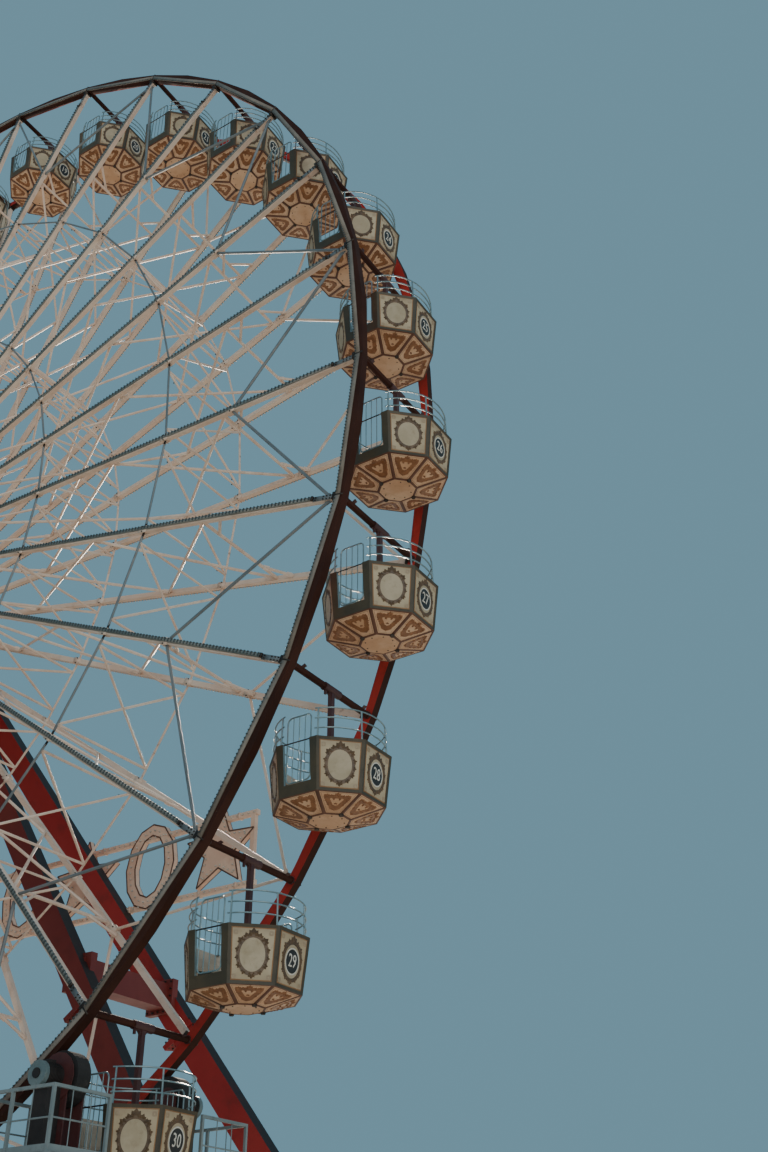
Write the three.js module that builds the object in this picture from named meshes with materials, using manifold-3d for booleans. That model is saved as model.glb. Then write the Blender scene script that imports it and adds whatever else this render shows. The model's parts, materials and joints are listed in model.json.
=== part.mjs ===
// Ferris wheel with 32 open cabins, as on a fairground.
// Millimetres, Z up. The axle lies along Y and the wheel turns in the XZ plane.
// The origin is on the ground, under the middle of the hub.
// "Near" is the side at -Y, "far" the side at +Y. "Right" is +X, "left" is -X.

import * as THREE from 'three';
import { mergeVertices } from 'three/addons/utils/BufferGeometryUtils.js';
import Module from 'manifold-3d';

const wasm = await Module();
wasm.setup();

// Gaps between pieces
const SEAT = 0.3;
const RUNNING = 0.5;
const SLIVER = 1;

// Wheel
const CABIN_COUNT = 32;
const FIRST_CABIN = 26;
const REST_TURN_DEG = -1.6;
const HUB_HEIGHT = 20400;
const RIM_RADIUS = 17000;
const RIM_SPACING = 2586;
const RIM_TUBE = 180;
const RIM_SEGMENTS = 64;
const SPOKE_TUBE = 110;
const TIE_TUBE = 80;
const OUTER_TIE_RADIUS = 11900;
const INNER_TIE_RADIUS = 8000;
const BEAM_RADIUS = 65;
const BEAM_SIDES = 8;

// Web of thin bars between the two planes of spokes
const WEB_TUBE = 60;
const WEB_OVERRUN = 90;
const WEB_RADII = [5700, 10300, 13500];

// Hub and axle
const DRUM_RADIUS = 1090;
const DRUM_OVERHANG = 120;
const SPOKE_RING_RADIUS = 1400;
const AXLE_RADIUS = 160;
const AXLE_SIDES = 16;
const AXLE_LENGTH = 7300;

// Supports
const LEG_DEEP = 600;
const LEG_THICK = 330;
const LEG_FOOT_X = 14280;
const INNER_LEG_Y = 2640;
const OUTER_LEG_TOP_Y = 3140;
const OUTER_LEG_FOOT_Y = 8000;
const FOOT_PLATE = 1200;
const FOOT_PLATE_THICK = 60;
const COLLAR_GROW = 40;
const COLLAR_LIP = 220;
const COLLAR_LENGTH = 90;
const COLLAR_DROP = 10850;
const BRACE_DROP = 10150;
const BRACE_WIDE = 480;
const BRACE_DEEP = 560;
const BRACE_FLANGE = 760;
const BRACE_FLANGE_THICK = 60;
const BRACE_BITE = 120;
const HEAD_HALF_X = 760;
const HEAD_TOP = 450;
const HEAD_BOTTOM = -700;
const HEAD_Y_START = 2390;
const HEAD_Y_END = 3600;

// Cabin, measured down from the middle of its beam
const CABIN_SIDES = 8;
const WALL_TOP = -1400;
const WALL_BOTTOM = -2340;
const CABIN_BASE = -2520;
const WALL_TOP_FLATS = 2040;
const WALL_BOTTOM_FLATS = 1850;
const BASE_FLATS = 690;
const WALL_THICK = 50;
const FLOOR_THICK = 40;
const ENTRY_WIDTH = 550;
const SILL_HEIGHT = 200;
const POST_TUBE = 90;
const SLEEVE_LENGTH = 480;
const SLEEVE_RADIUS = 95;
const GUSSET_DROP = 200;
const GUSSET_THICK = 60;

// Sign: two rails with plain ornaments between them
const SIGN_Y = 5250;
const SIGN_HALF_LENGTH = 9800;
const SIGN_TOP_DROP = 6250;
const SIGN_BOTTOM_DROP = 7950;
const SIGN_RAIL_RADIUS = 60;
const SIGN_BOARD_THICK = 140;
const SIGN_STAND = 120;
const ORNAMENT_DROP = 6960;
const ORNAMENT_SPACING = 2180;
const ORNAMENTS_EACH_SIDE = 4;
const OVAL_HALF_X = 780;
const OVAL_HALF_Z = 1080;
const OVAL_BAND = 310;
const OVAL_CORNERS = 12;
const STAR_OUTER = 1080;
const STAR_INNER = 480;
const STAR_POINTS = 5;

// Drive units under both rims
const DRIVE_ANGLE_DEG = -49.7;
const TYRE_RADIUS = 420;
const TYRE_WIDTH = 290;
const TYRE_GAP = 5;
const TYRE_SIDES = 24;
const TYRE_PIN_RADIUS = 60;
const TYRE_PIN_SIDES = 12;
const CHEEK_GAP = 25;
const CHEEK_THICK = 30;
const CHEEK_WIDTH = 520;
const MOTOR_RADIUS = 190;
const MOTOR_LENGTH = 420;
const MOTOR_FOOT_WIDTH = 300;
const MOTOR_FOOT_LENGTH = 290;
const PLATFORM_HEIGHT = 5800;
const PLATFORM_THICK = 60;
const TOWER_Y_INNER = 1110;
const TOWER_Y_OUTER = 2360;
const TOWER_HALF_TOP = 900;
const TOWER_HALF_FOOT = 1250;
const TOWER_BAND_HEIGHT = 2600;
const TOWER_TUBE = 110;
const TOWER_BRACE_TUBE = 60;
const GUARD_HEIGHT = 950;
const GUARD_TUBE = 50;

const X_AXIS = new THREE.Vector3(1, 0, 0);
const Y_AXIS = new THREE.Vector3(0, 1, 0);
const RIM_Y = RIM_SPACING / 2;
const NODE_STEP = (2 * Math.PI) / CABIN_COUNT;
const REST_TURN = THREE.MathUtils.degToRad(REST_TURN_DEG);

const PAINT = {
  cream: { color: 0xd8cdbd, roughness: 0.5, metalness: 0.1 },
  maroon: { color: 0x3b2322, roughness: 0.5, metalness: 0.2 },
  red: { color: 0x9c1f1c, roughness: 0.45, metalness: 0.1 },
  darkRed: { color: 0x5e1c1b, roughness: 0.5, metalness: 0.1 },
  cabin: { color: 0xb59a72, roughness: 0.6, metalness: 0.0 },
  sign: { color: 0xd9b48f, roughness: 0.6, metalness: 0.0 },
  rubber: { color: 0x17171a, roughness: 0.9, metalness: 0.0 },
  blueGrey: { color: 0x9fb4b8, roughness: 0.5, metalness: 0.2 },
  steel: { color: 0x5d6669, roughness: 0.4, metalness: 0.6 },
};

// Solids from geometries, and back
function solidOf(geometry) {
  const plain = geometry.clone();
  plain.deleteAttribute('normal');
  plain.deleteAttribute('uv');
  const merged = mergeVertices(plain, 1e-3);
  const corners = merged.index.array;
  const kept = [];
  for (let i = 0; i < corners.length; i += 3) {
    const [a, b, c] = [corners[i], corners[i + 1], corners[i + 2]];
    if (a !== b && b !== c && c !== a) kept.push(a, b, c);
  }
  const vertProperties = new Float32Array(merged.attributes.position.array);
  const triVerts = new Uint32Array(kept);
  return new wasm.Manifold(new wasm.Mesh({ numProp: 3, vertProperties, triVerts }));
}

function geometryOf(solid) {
  const mesh = solid.getMesh();
  const geometry = new THREE.BufferGeometry();
  const positions = new Float32Array(mesh.vertProperties);
  geometry.setAttribute('position', new THREE.BufferAttribute(positions, 3));
  geometry.setIndex(new THREE.BufferAttribute(new Uint32Array(mesh.triVerts), 1));
  geometry.computeVertexNormals();
  return geometry;
}

function joined(solids) {
  return solids.reduce((whole, next) => whole.add(next));
}

function without(solid, cutters) {
  return cutters.reduce((rest, cutter) => rest.subtract(cutter), solid);
}

// Joining bars that share a plane leaves slivers, and this merges them
function tidied(solid) {
  return solid.asOriginal().simplify(SLIVER);
}

function largestPart(solid) {
  return solid.decompose().reduce((best, part) => (part.volume() > best.volume() ? part : best));
}

// Basic shapes
function point(x, y, z) {
  return new THREE.Vector3(x, y, z);
}

function block(low, high) {
  const size = high.clone().sub(low);
  const geometry = new THREE.BoxGeometry(size.x, size.y, size.z);
  const middle = low.clone().add(high).multiplyScalar(0.5);
  return solidOf(geometry.translate(middle.x, middle.y, middle.z));
}

function bar(start, end, wide, deep, sideways) {
  const along = end.clone().sub(start);
  const length = along.length();
  along.normalize();
  const side = sideways.clone().addScaledVector(along, -sideways.dot(along)).normalize();
  const upward = new THREE.Vector3().crossVectors(along, side);
  const middle = start.clone().add(end).multiplyScalar(0.5);
  const place = new THREE.Matrix4().makeBasis(side, upward, along).setPosition(middle);
  return solidOf(new THREE.BoxGeometry(wide, deep, length).applyMatrix4(place));
}

function rodAlongY(x, z, yStart, yEnd, radius, sides) {
  const rod = new THREE.CylinderGeometry(radius, radius, yEnd - yStart, sides);
  return solidOf(rod.translate(x, (yStart + yEnd) / 2, z));
}

// A bore for a rod of the same sides, turned half a side so that the rod's corners meet its flats
function boreAlongY(x, z, yStart, yEnd, rodRadius, sides) {
  const radius = (rodRadius + RUNNING) / Math.cos(Math.PI / sides);
  const bore = new THREE.CylinderGeometry(radius, radius, yEnd - yStart, sides);
  return solidOf(bore.rotateY(Math.PI / sides).translate(x, (yStart + yEnd) / 2, z));
}

function ringAboutY(inside, outside, thick, sides) {
  const half = thick / 2;
  const profile = [
    new THREE.Vector2(inside, -half),
    new THREE.Vector2(outside, -half),
    new THREE.Vector2(outside, half),
    new THREE.Vector2(inside, half),
    new THREE.Vector2(inside, -half),
  ];
  return solidOf(new THREE.LatheGeometry(profile, sides));
}

function flatPlate(outline, thick, hole) {
  const shape = new THREE.Shape(outline);
  if (hole) shape.holes.push(new THREE.Path(hole));
  return new THREE.ExtrudeGeometry(shape, { depth: thick, bevelEnabled: false });
}

// A plate drawn in XZ and given its thickness along Y, centred on y
function uprightPlate(outline, thick, y, hole) {
  const geometry = flatPlate(outline, thick, hole).rotateX(Math.PI / 2);
  return solidOf(geometry.translate(0, y + thick / 2, 0));
}

function meshOf(name, solid, paint) {
  const mesh = new THREE.Mesh(geometryOf(solid), new THREE.MeshStandardMaterial(paint));
  mesh.name = name;
  return mesh;
}

function onWheel(radius, angle, y) {
  return point(radius * Math.cos(angle), y, radius * Math.sin(angle));
}

// Wheel
function rimSolid(y) {
  const half = RIM_TUBE / 2;
  const ring = ringAboutY(RIM_RADIUS - half, RIM_RADIUS + half, RIM_TUBE, RIM_SEGMENTS);
  return ring.translate([0, y, 0]);
}

function beamSolids() {
  const beams = [];
  const nearEnd = -RIM_Y + RIM_TUBE / 2 + SEAT;
  for (let i = 0; i < CABIN_COUNT; i += 1) {
    const middle = onWheel(RIM_RADIUS, i * NODE_STEP, 0);
    beams.push(rodAlongY(middle.x, middle.z, nearEnd, RIM_Y, BEAM_RADIUS, BEAM_SIDES));
  }
  return beams;
}

// The rim is a polygon, so a spoke as wide as this stops a little short of its corner
function spokeEndRadius() {
  const cornerFall = (SPOKE_TUBE / 2) * Math.tan(Math.PI / RIM_SEGMENTS);
  return RIM_RADIUS - RIM_TUBE / 2 - cornerFall - SEAT;
}

function spokeSideSolid(y) {
  const drumBore = DRUM_RADIUS + RUNNING;
  const pieces = [ringAboutY(drumBore, SPOKE_RING_RADIUS, SPOKE_TUBE, CABIN_COUNT).translate([0, y, 0])];
  const start = (drumBore + SPOKE_RING_RADIUS) / 2;
  for (let i = 0; i < CABIN_COUNT; i += 1) {
    const angle = i * NODE_STEP;
    const inner = onWheel(start, angle, y);
    const outer = onWheel(spokeEndRadius(), angle, y);
    pieces.push(bar(inner, outer, SPOKE_TUBE, SPOKE_TUBE, Y_AXIS));
    for (const radius of [INNER_TIE_RADIUS, OUTER_TIE_RADIUS]) {
      const here = onWheel(radius, angle, y);
      const next = onWheel(radius, angle + NODE_STEP, y);
      pieces.push(bar(here, next, TIE_TUBE, TIE_TUBE, Y_AXIS));
    }
  }
  return tidied(joined(pieces));
}

function webBar(start, end, sideways) {
  const overrun = end.clone().sub(start).setLength(WEB_OVERRUN);
  return bar(start.clone().sub(overrun), end.clone().add(overrun), WEB_TUBE, WEB_TUBE, sideways);
}

// In the plane of each spoke pair there are two crosses and a batten, and the outer tie polygon has a cross in
// each bay. All bars end flat on the inner faces of the spokes.
function webSolid() {
  const face = RIM_Y - SPOKE_TUBE / 2 - SEAT;
  const bars = [];
  for (let i = 0; i < CABIN_COUNT; i += 1) {
    const angle = i * NODE_STEP;
    const acrossSpoke = onWheel(1, angle + Math.PI / 2, 0);
    const alongBay = onWheel(1, angle + NODE_STEP / 2, 0);
    for (const side of [-face, face]) {
      for (let k = 0; k < WEB_RADII.length - 1; k += 1) {
        const inner = onWheel(WEB_RADII[k], angle, side);
        bars.push(webBar(inner, onWheel(WEB_RADII[k + 1], angle, -side), acrossSpoke));
      }
      const here = onWheel(OUTER_TIE_RADIUS, angle, side);
      const next = onWheel(OUTER_TIE_RADIUS, angle + NODE_STEP, -side);
      bars.push(webBar(here, next, alongBay));
    }
    const near = onWheel(OUTER_TIE_RADIUS, angle, -face);
    bars.push(webBar(near, onWheel(OUTER_TIE_RADIUS, angle, face), acrossSpoke));
  }
  const reach = RIM_RADIUS;
  const between = block(point(-reach, -face, -reach), point(reach, face, reach));
  return tidied(joined(bars).intersect(between));
}

function hubSolid() {
  const drumHalf = RIM_Y + DRUM_OVERHANG;
  const drum = rodAlongY(0, 0, -drumHalf, drumHalf, DRUM_RADIUS, CABIN_COUNT);
  const axle = rodAlongY(0, 0, -AXLE_LENGTH / 2, AXLE_LENGTH / 2, AXLE_RADIUS, AXLE_SIDES);
  return drum.add(axle);
}

function wheelGroup() {
  const wheel = new THREE.Group();
  wheel.position.z = HUB_HEIGHT;
  wheel.rotation.y = -REST_TURN;
  wheel.add(meshOf('rim_near', rimSolid(-RIM_Y), PAINT.maroon));
  wheel.add(meshOf('rim_far', joined([rimSolid(RIM_Y), ...beamSolids()]), PAINT.maroon));
  wheel.add(meshOf('spokes_near', spokeSideSolid(-RIM_Y), PAINT.cream));
  wheel.add(meshOf('spokes_far', spokeSideSolid(RIM_Y), PAINT.cream));
  wheel.add(meshOf('wheel_web', webSolid(), PAINT.cream));
  wheel.add(meshOf('hub', hubSolid(), PAINT.cream));
  return wheel;
}

// Cabin
function cornerRadius(acrossFlats) {
  return acrossFlats / 2 / Math.cos(Math.PI / CABIN_SIDES);
}

function tubSolid() {
  const inside = 2 * WALL_THICK;
  const profile = [
    new THREE.Vector2(0, CABIN_BASE),
    new THREE.Vector2(cornerRadius(BASE_FLATS), CABIN_BASE),
    new THREE.Vector2(cornerRadius(WALL_BOTTOM_FLATS), WALL_BOTTOM),
    new THREE.Vector2(cornerRadius(WALL_TOP_FLATS), WALL_TOP),
    new THREE.Vector2(cornerRadius(WALL_TOP_FLATS - inside), WALL_TOP),
    new THREE.Vector2(cornerRadius(WALL_BOTTOM_FLATS - inside), WALL_BOTTOM + FLOOR_THICK),
    new THREE.Vector2(0, WALL_BOTTOM + FLOOR_THICK),
  ];
  const tub = new THREE.LatheGeometry(profile, CABIN_SIDES);
  return solidOf(tub.rotateX(Math.PI / 2).rotateZ(Math.PI / CABIN_SIDES));
}

function entryCutter() {
  const half = ENTRY_WIDTH / 2;
  const reach = WALL_TOP_FLATS;
  const sill = WALL_BOTTOM + SILL_HEIGHT;
  return block(point(-half, -reach, sill), point(half, reach, WALL_TOP + RUNNING));
}

function hangerSolid() {
  const sleeve = rodAlongY(0, 0, -SLEEVE_LENGTH / 2, SLEEVE_LENGTH / 2, SLEEVE_RADIUS, BEAM_SIDES);
  const low = point(-POST_TUBE / 2, -POST_TUBE / 2, WALL_BOTTOM);
  const high = point(POST_TUBE / 2, POST_TUBE / 2, -BEAM_RADIUS);
  const gussetTop = -(SLEEVE_RADIUS * Math.cos(Math.PI / BEAM_SIDES) + BEAM_RADIUS) / 2;
  const gusset = flatPlate(
    [
      new THREE.Vector2(-SLEEVE_LENGTH / 2, gussetTop),
      new THREE.Vector2(-POST_TUBE / 2, -GUSSET_DROP - SLEEVE_RADIUS),
      new THREE.Vector2(POST_TUBE / 2, -GUSSET_DROP - SLEEVE_RADIUS),
      new THREE.Vector2(SLEEVE_LENGTH / 2, gussetTop),
    ],
    GUSSET_THICK
  );
  gusset.rotateX(Math.PI / 2).rotateZ(Math.PI / 2).translate(-GUSSET_THICK / 2, 0, 0);
  return joined([sleeve, block(low, high), solidOf(gusset)]);
}

function cabinSolid() {
  const body = tubSolid().subtract(entryCutter());
  const bore = boreAlongY(0, 0, -SLEEVE_LENGTH, SLEEVE_LENGTH, BEAM_RADIUS, BEAM_SIDES);
  return body.add(hangerSolid()).subtract(bore);
}

function cabinNumber(index) {
  return ((FIRST_CABIN - index - 1 + CABIN_COUNT) % CABIN_COUNT) + 1;
}

function cabinGroup() {
  const cabins = new THREE.Group();
  const geometry = geometryOf(cabinSolid());
  for (let i = 0; i < CABIN_COUNT; i += 1) {
    const mesh = new THREE.Mesh(geometry, new THREE.MeshStandardMaterial(PAINT.cabin));
    mesh.name = `cabin_${String(cabinNumber(i)).padStart(2, '0')}`;
    mesh.position.copy(onWheel(RIM_RADIUS, REST_TURN + i * NODE_STEP, 0));
    mesh.position.z += HUB_HEIGHT;
    cabins.add(mesh);
  }
  return cabins;
}

// Supports
function innerLegLine(right, far) {
  const top = point(0, far * INNER_LEG_Y, HUB_HEIGHT);
  const foot = point(right * LEG_FOOT_X, far * INNER_LEG_Y, 0);
  return [top, foot];
}

function outerLegLine(right, far) {
  const top = point(0, far * OUTER_LEG_TOP_Y, HUB_HEIGHT);
  const foot = point(right * LEG_FOOT_X, far * OUTER_LEG_FOOT_Y, 0);
  return [top, foot];
}

function alongLeg([top, foot], drop) {
  return top.clone().lerp(foot, drop / HUB_HEIGHT);
}

function legBar(line, fromDrop, toDrop, grow) {
  const [thick, deep] = [LEG_THICK + 2 * grow, LEG_DEEP + 2 * grow];
  return bar(alongLeg(line, fromDrop), alongLeg(line, toDrop), thick, deep, Y_AXIS);
}

// The splice collar stands out further under the leg, where its lip is bolted
function collarSolid(line) {
  const [top, foot] = line;
  const along = foot.clone().sub(top);
  const under = point(along.z, 0, -along.x).setLength((Math.sign(foot.x) * COLLAR_LIP) / 2);
  const start = alongLeg(line, COLLAR_DROP).add(under);
  const end = alongLeg(line, COLLAR_DROP + COLLAR_LENGTH).add(under);
  const deep = LEG_DEEP + 2 * COLLAR_GROW + COLLAR_LIP;
  return bar(start, end, LEG_THICK + 2 * COLLAR_GROW, deep, Y_AXIS);
}

function legSolid(line) {
  const [, foot] = line;
  const half = FOOT_PLATE / 2;
  const longLeg = legBar(line, 0, HUB_HEIGHT + LEG_DEEP, 0);
  const reach = new THREE.Vector3(LEG_DEEP * 2, LEG_DEEP * 2, 0);
  const below = block(
    foot.clone().sub(reach).setZ(-LEG_DEEP * 2),
    foot.clone().add(reach).setZ(FOOT_PLATE_THICK / 2)
  );
  const plate = block(
    point(foot.x - half, foot.y - half, 0),
    point(foot.x + half, foot.y + half, FOOT_PLATE_THICK)
  );
  return joined([longLeg.subtract(below), collarSolid(line), plate]);
}

function headSolid(far, grow) {
  const outline = [
    new THREE.Vector2(-HEAD_HALF_X - grow, HEAD_BOTTOM - grow),
    new THREE.Vector2(HEAD_HALF_X + grow, HEAD_BOTTOM - grow),
    new THREE.Vector2(HEAD_HALF_X + grow, 0),
    new THREE.Vector2(HEAD_TOP / 2, HEAD_TOP + grow),
    new THREE.Vector2(-HEAD_TOP / 2, HEAD_TOP + grow),
    new THREE.Vector2(-HEAD_HALF_X - grow, 0),
  ];
  const thick = HEAD_Y_END - HEAD_Y_START + 2 * grow;
  const plate = uprightPlate(outline, thick, (far * (HEAD_Y_START + HEAD_Y_END)) / 2);
  return plate.translate([0, 0, HUB_HEIGHT]);
}

function braceSolid(right, far) {
  const inner = alongLeg(innerLegLine(right, far), BRACE_DROP);
  const outer = alongLeg(outerLegLine(right, far), BRACE_DROP);
  const pieces = [bar(inner, outer, BRACE_WIDE, BRACE_DEEP, X_AXIS)];
  const along = outer.clone().sub(inner).normalize();
  const start = LEG_THICK / 2 - BRACE_BITE;
  const reach = LEG_THICK / 2 + BRACE_FLANGE_THICK;
  const ends = [
    [inner.clone().addScaledVector(along, start), inner.clone().addScaledVector(along, reach)],
    [outer.clone().addScaledVector(along, -start), outer.clone().addScaledVector(along, -reach)],
  ];
  for (const [from, to] of ends) pieces.push(bar(from, to, BRACE_FLANGE, BRACE_FLANGE, X_AXIS));
  const legs = [innerLegLine(right, far), outerLegLine(right, far)];
  const cutters = legs.map((line) => legBar(line, 0, HUB_HEIGHT, SEAT));
  return largestPart(without(joined(pieces), cutters));
}

function supportGroup() {
  const supports = new THREE.Group();
  for (const [farName, far] of [['near', -1], ['far', 1]]) {
    const bore = boreAlongY(0, HUB_HEIGHT, -AXLE_LENGTH, AXLE_LENGTH, AXLE_RADIUS, AXLE_SIDES);
    const head = headSolid(far, 0).subtract(bore);
    supports.add(meshOf(`bearing_head_${farName}`, head, PAINT.darkRed));
    for (const [rightName, right] of [['left', -1], ['right', 1]]) {
      const side = `${farName}_${rightName}`;
      const inner = legSolid(innerLegLine(right, far)).subtract(headSolid(far, SEAT));
      const outer = legSolid(outerLegLine(right, far)).subtract(headSolid(far, SEAT));
      supports.add(meshOf(`inner_leg_${side}`, largestPart(inner), PAINT.darkRed));
      supports.add(meshOf(`outer_leg_${side}`, largestPart(outer), PAINT.red));
      supports.add(meshOf(`leg_brace_${side}`, braceSolid(right, far), PAINT.red));
    }
  }
  return supports;
}

// Sign
function ovalOutline(x, z, halfX, halfZ, count) {
  const outline = [];
  for (let i = 0; i < count; i += 1) {
    const angle = (i * 2 * Math.PI) / count;
    outline.push(new THREE.Vector2(x + halfX * Math.cos(angle), z + halfZ * Math.sin(angle)));
  }
  return outline;
}

function starOutline(x, z, outer, inner) {
  const outline = [];
  for (let i = 0; i < 2 * STAR_POINTS; i += 1) {
    const angle = Math.PI / 2 + (i * Math.PI) / STAR_POINTS;
    const radius = i % 2 === 0 ? outer : inner;
    outline.push(new THREE.Vector2(x + radius * Math.cos(angle), z + radius * Math.sin(angle)));
  }
  return outline;
}

function ornamentSolid(index) {
  const x = index * ORNAMENT_SPACING;
  const z = HUB_HEIGHT - ORNAMENT_DROP;
  if (index % 2 === 0) {
    return uprightPlate(starOutline(x, z, STAR_OUTER, STAR_INNER), SIGN_BOARD_THICK, SIGN_Y);
  }
  const oval = ovalOutline(x, z, OVAL_HALF_X, OVAL_HALF_Z, OVAL_CORNERS);
  const hole = ovalOutline(x, z, OVAL_HALF_X - OVAL_BAND, OVAL_HALF_Z - OVAL_BAND, OVAL_CORNERS);
  return uprightPlate(oval, SIGN_BOARD_THICK, SIGN_Y, hole);
}

function signSolid() {
  const pieces = [];
  for (let i = -ORNAMENTS_EACH_SIDE; i <= ORNAMENTS_EACH_SIDE; i += 1) pieces.push(ornamentSolid(i));
  const railTube = 2 * SIGN_RAIL_RADIUS;
  for (const drop of [SIGN_TOP_DROP, SIGN_BOTTOM_DROP]) {
    const z = HUB_HEIGHT - drop;
    const start = point(-SIGN_HALF_LENGTH, SIGN_Y, z);
    const end = point(SIGN_HALF_LENGTH, SIGN_Y, z);
    pieces.push(bar(start, end, railTube, railTube, Y_AXIS));
    for (const right of [-1, 1]) {
      const leg = alongLeg(outerLegLine(right, 1), drop);
      pieces.push(bar(leg, point(leg.x, SIGN_Y, z), SIGN_STAND, SIGN_STAND, X_AXIS));
    }
    for (const right of [-1, 1]) {
      const top = point(right * (SIGN_HALF_LENGTH - railTube), SIGN_Y, HUB_HEIGHT - SIGN_TOP_DROP);
      const low = top.clone().setZ(HUB_HEIGHT - SIGN_BOTTOM_DROP);
      pieces.push(bar(low, top, railTube, railTube, Y_AXIS));
    }
  }
  const whole = joined(pieces);
  const legs = [-1, 1].map((right) => legBar(outerLegLine(right, 1), 0, HUB_HEIGHT, SEAT));
  return largestPart(without(whole, legs));
}

// Drive units
function driveCentre() {
  const radius = RIM_RADIUS + RIM_TUBE / 2 + TYRE_RADIUS + TYRE_GAP;
  const centre = onWheel(radius, THREE.MathUtils.degToRad(DRIVE_ANGLE_DEG), 0);
  centre.z += HUB_HEIGHT;
  return centre;
}

function tyreSolid(far) {
  const y = far * RIM_Y;
  const tyre = rodAlongY(0, 0, y - TYRE_WIDTH / 2, y + TYRE_WIDTH / 2, TYRE_RADIUS, TYRE_SIDES);
  const hole = boreAlongY(0, 0, y - TYRE_WIDTH, y + TYRE_WIDTH, TYRE_PIN_RADIUS, TYRE_PIN_SIDES);
  return tyre.subtract(hole);
}

// Mirrors a pair of distances from the wheel's middle plane to low and high Y
function yRange(far, first, second) {
  return far > 0 ? [first, second] : [-second, -first];
}

function boxAt(xLow, xHigh, far, first, second, zLow, zHigh) {
  const [yLow, yHigh] = yRange(far, first, second);
  return block(point(xLow, yLow, zLow), point(xHigh, yHigh, zHigh));
}

function cheekSolids(centre, far) {
  const pieces = [];
  const inner = RIM_Y - TYRE_WIDTH / 2 - CHEEK_GAP;
  const outer = RIM_Y + TYRE_WIDTH / 2 + CHEEK_GAP;
  for (const [first, second] of [[inner - CHEEK_THICK, inner], [outer, outer + CHEEK_THICK]]) {
    const half = CHEEK_WIDTH / 2;
    const top = centre.z + TYRE_PIN_RADIUS * 2;
    pieces.push(boxAt(centre.x - half, centre.x + half, far, first, second, PLATFORM_HEIGHT, top));
  }
  const [pinLow, pinHigh] = yRange(far, inner - CHEEK_THICK, outer + CHEEK_THICK);
  pieces.push(rodAlongY(centre.x, centre.z, pinLow, pinHigh, TYRE_PIN_RADIUS, TYRE_PIN_SIDES));
  return pieces;
}

function towerLegSolids(centre, far) {
  const pieces = [];
  const half = TOWER_TUBE / 2;
  for (const y of [TOWER_Y_INNER + half, TOWER_Y_OUTER - half]) {
    for (const side of [-1, 1]) {
      const foot = point(centre.x + side * TOWER_HALF_FOOT, far * y, 0);
      const top = point(centre.x + side * TOWER_HALF_TOP, far * y, PLATFORM_HEIGHT);
      pieces.push(bar(foot.clone().setZ(-TOWER_TUBE), top, TOWER_TUBE, TOWER_TUBE, Y_AXIS));
    }
  }
  const share = TOWER_BAND_HEIGHT / PLATFORM_HEIGHT;
  const spread = THREE.MathUtils.lerp(TOWER_HALF_FOOT, TOWER_HALF_TOP, share);
  const thin = TOWER_BRACE_TUBE;
  for (const y of [TOWER_Y_INNER + half, TOWER_Y_OUTER - half]) {
    const start = point(centre.x - spread, far * y, TOWER_BAND_HEIGHT);
    const end = point(centre.x + spread, far * y, TOWER_BAND_HEIGHT);
    pieces.push(bar(start, end, thin, thin, Y_AXIS));
    const topCorner = point(centre.x + TOWER_HALF_TOP, far * y, PLATFORM_HEIGHT);
    pieces.push(bar(start, topCorner, thin, thin, Y_AXIS));
    const footCorner = point(centre.x - TOWER_HALF_FOOT, far * y, TOWER_TUBE);
    pieces.push(bar(footCorner, end, thin, thin, Y_AXIS));
  }
  for (const side of [-1, 1]) {
    const start = point(centre.x + side * spread, far * (TOWER_Y_INNER + half), TOWER_BAND_HEIGHT);
    const end = start.clone().setY(far * (TOWER_Y_OUTER - half));
    pieces.push(bar(start, end, thin, thin, X_AXIS));
  }
  return pieces;
}

function guardSolids(centre, far) {
  const pieces = [];
  const half = GUARD_TUBE / 2;
  const top = PLATFORM_HEIGHT + GUARD_HEIGHT;
  const xEnd = TOWER_HALF_TOP - half;
  const yNear = TOWER_Y_INNER + half;
  const yFar = TOWER_Y_OUTER - half;
  const corners = [[-xEnd, yNear], [-xEnd, yFar], [xEnd, yFar], [xEnd, yNear]];
  const posts = [...corners, [0, yFar]];
  for (const [x, y] of posts) {
    const foot = point(centre.x + x, far * y, PLATFORM_HEIGHT - PLATFORM_THICK / 2);
    pieces.push(bar(foot, foot.clone().setZ(top), GUARD_TUBE, GUARD_TUBE, X_AXIS));
  }
  for (let i = 0; i < corners.length - 1; i += 1) {
    const start = point(centre.x + corners[i][0], far * corners[i][1], top - half);
    const end = point(centre.x + corners[i + 1][0], far * corners[i + 1][1], top - half);
    const sideways = i === 1 ? Y_AXIS : X_AXIS;
    pieces.push(bar(start, end, GUARD_TUBE, GUARD_TUBE, sideways));
  }
  return pieces;
}

function towerSolid(centre, far) {
  const floor = boxAt(
    centre.x - TOWER_HALF_TOP - TOWER_TUBE / 2,
    centre.x + TOWER_HALF_TOP + TOWER_TUBE / 2,
    far,
    TOWER_Y_INNER,
    TOWER_Y_OUTER,
    PLATFORM_HEIGHT - PLATFORM_THICK,
    PLATFORM_HEIGHT
  );
  const whole = joined([
    floor,
    ...cheekSolids(centre, far),
    ...towerLegSolids(centre, far),
    ...guardSolids(centre, far),
  ]);
  const reach = TOWER_HALF_FOOT * 2;
  const underground = boxAt(centre.x - reach, centre.x + reach, far, 0, TOWER_Y_OUTER * 2, -reach, 0);
  return whole.subtract(underground);
}

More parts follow.
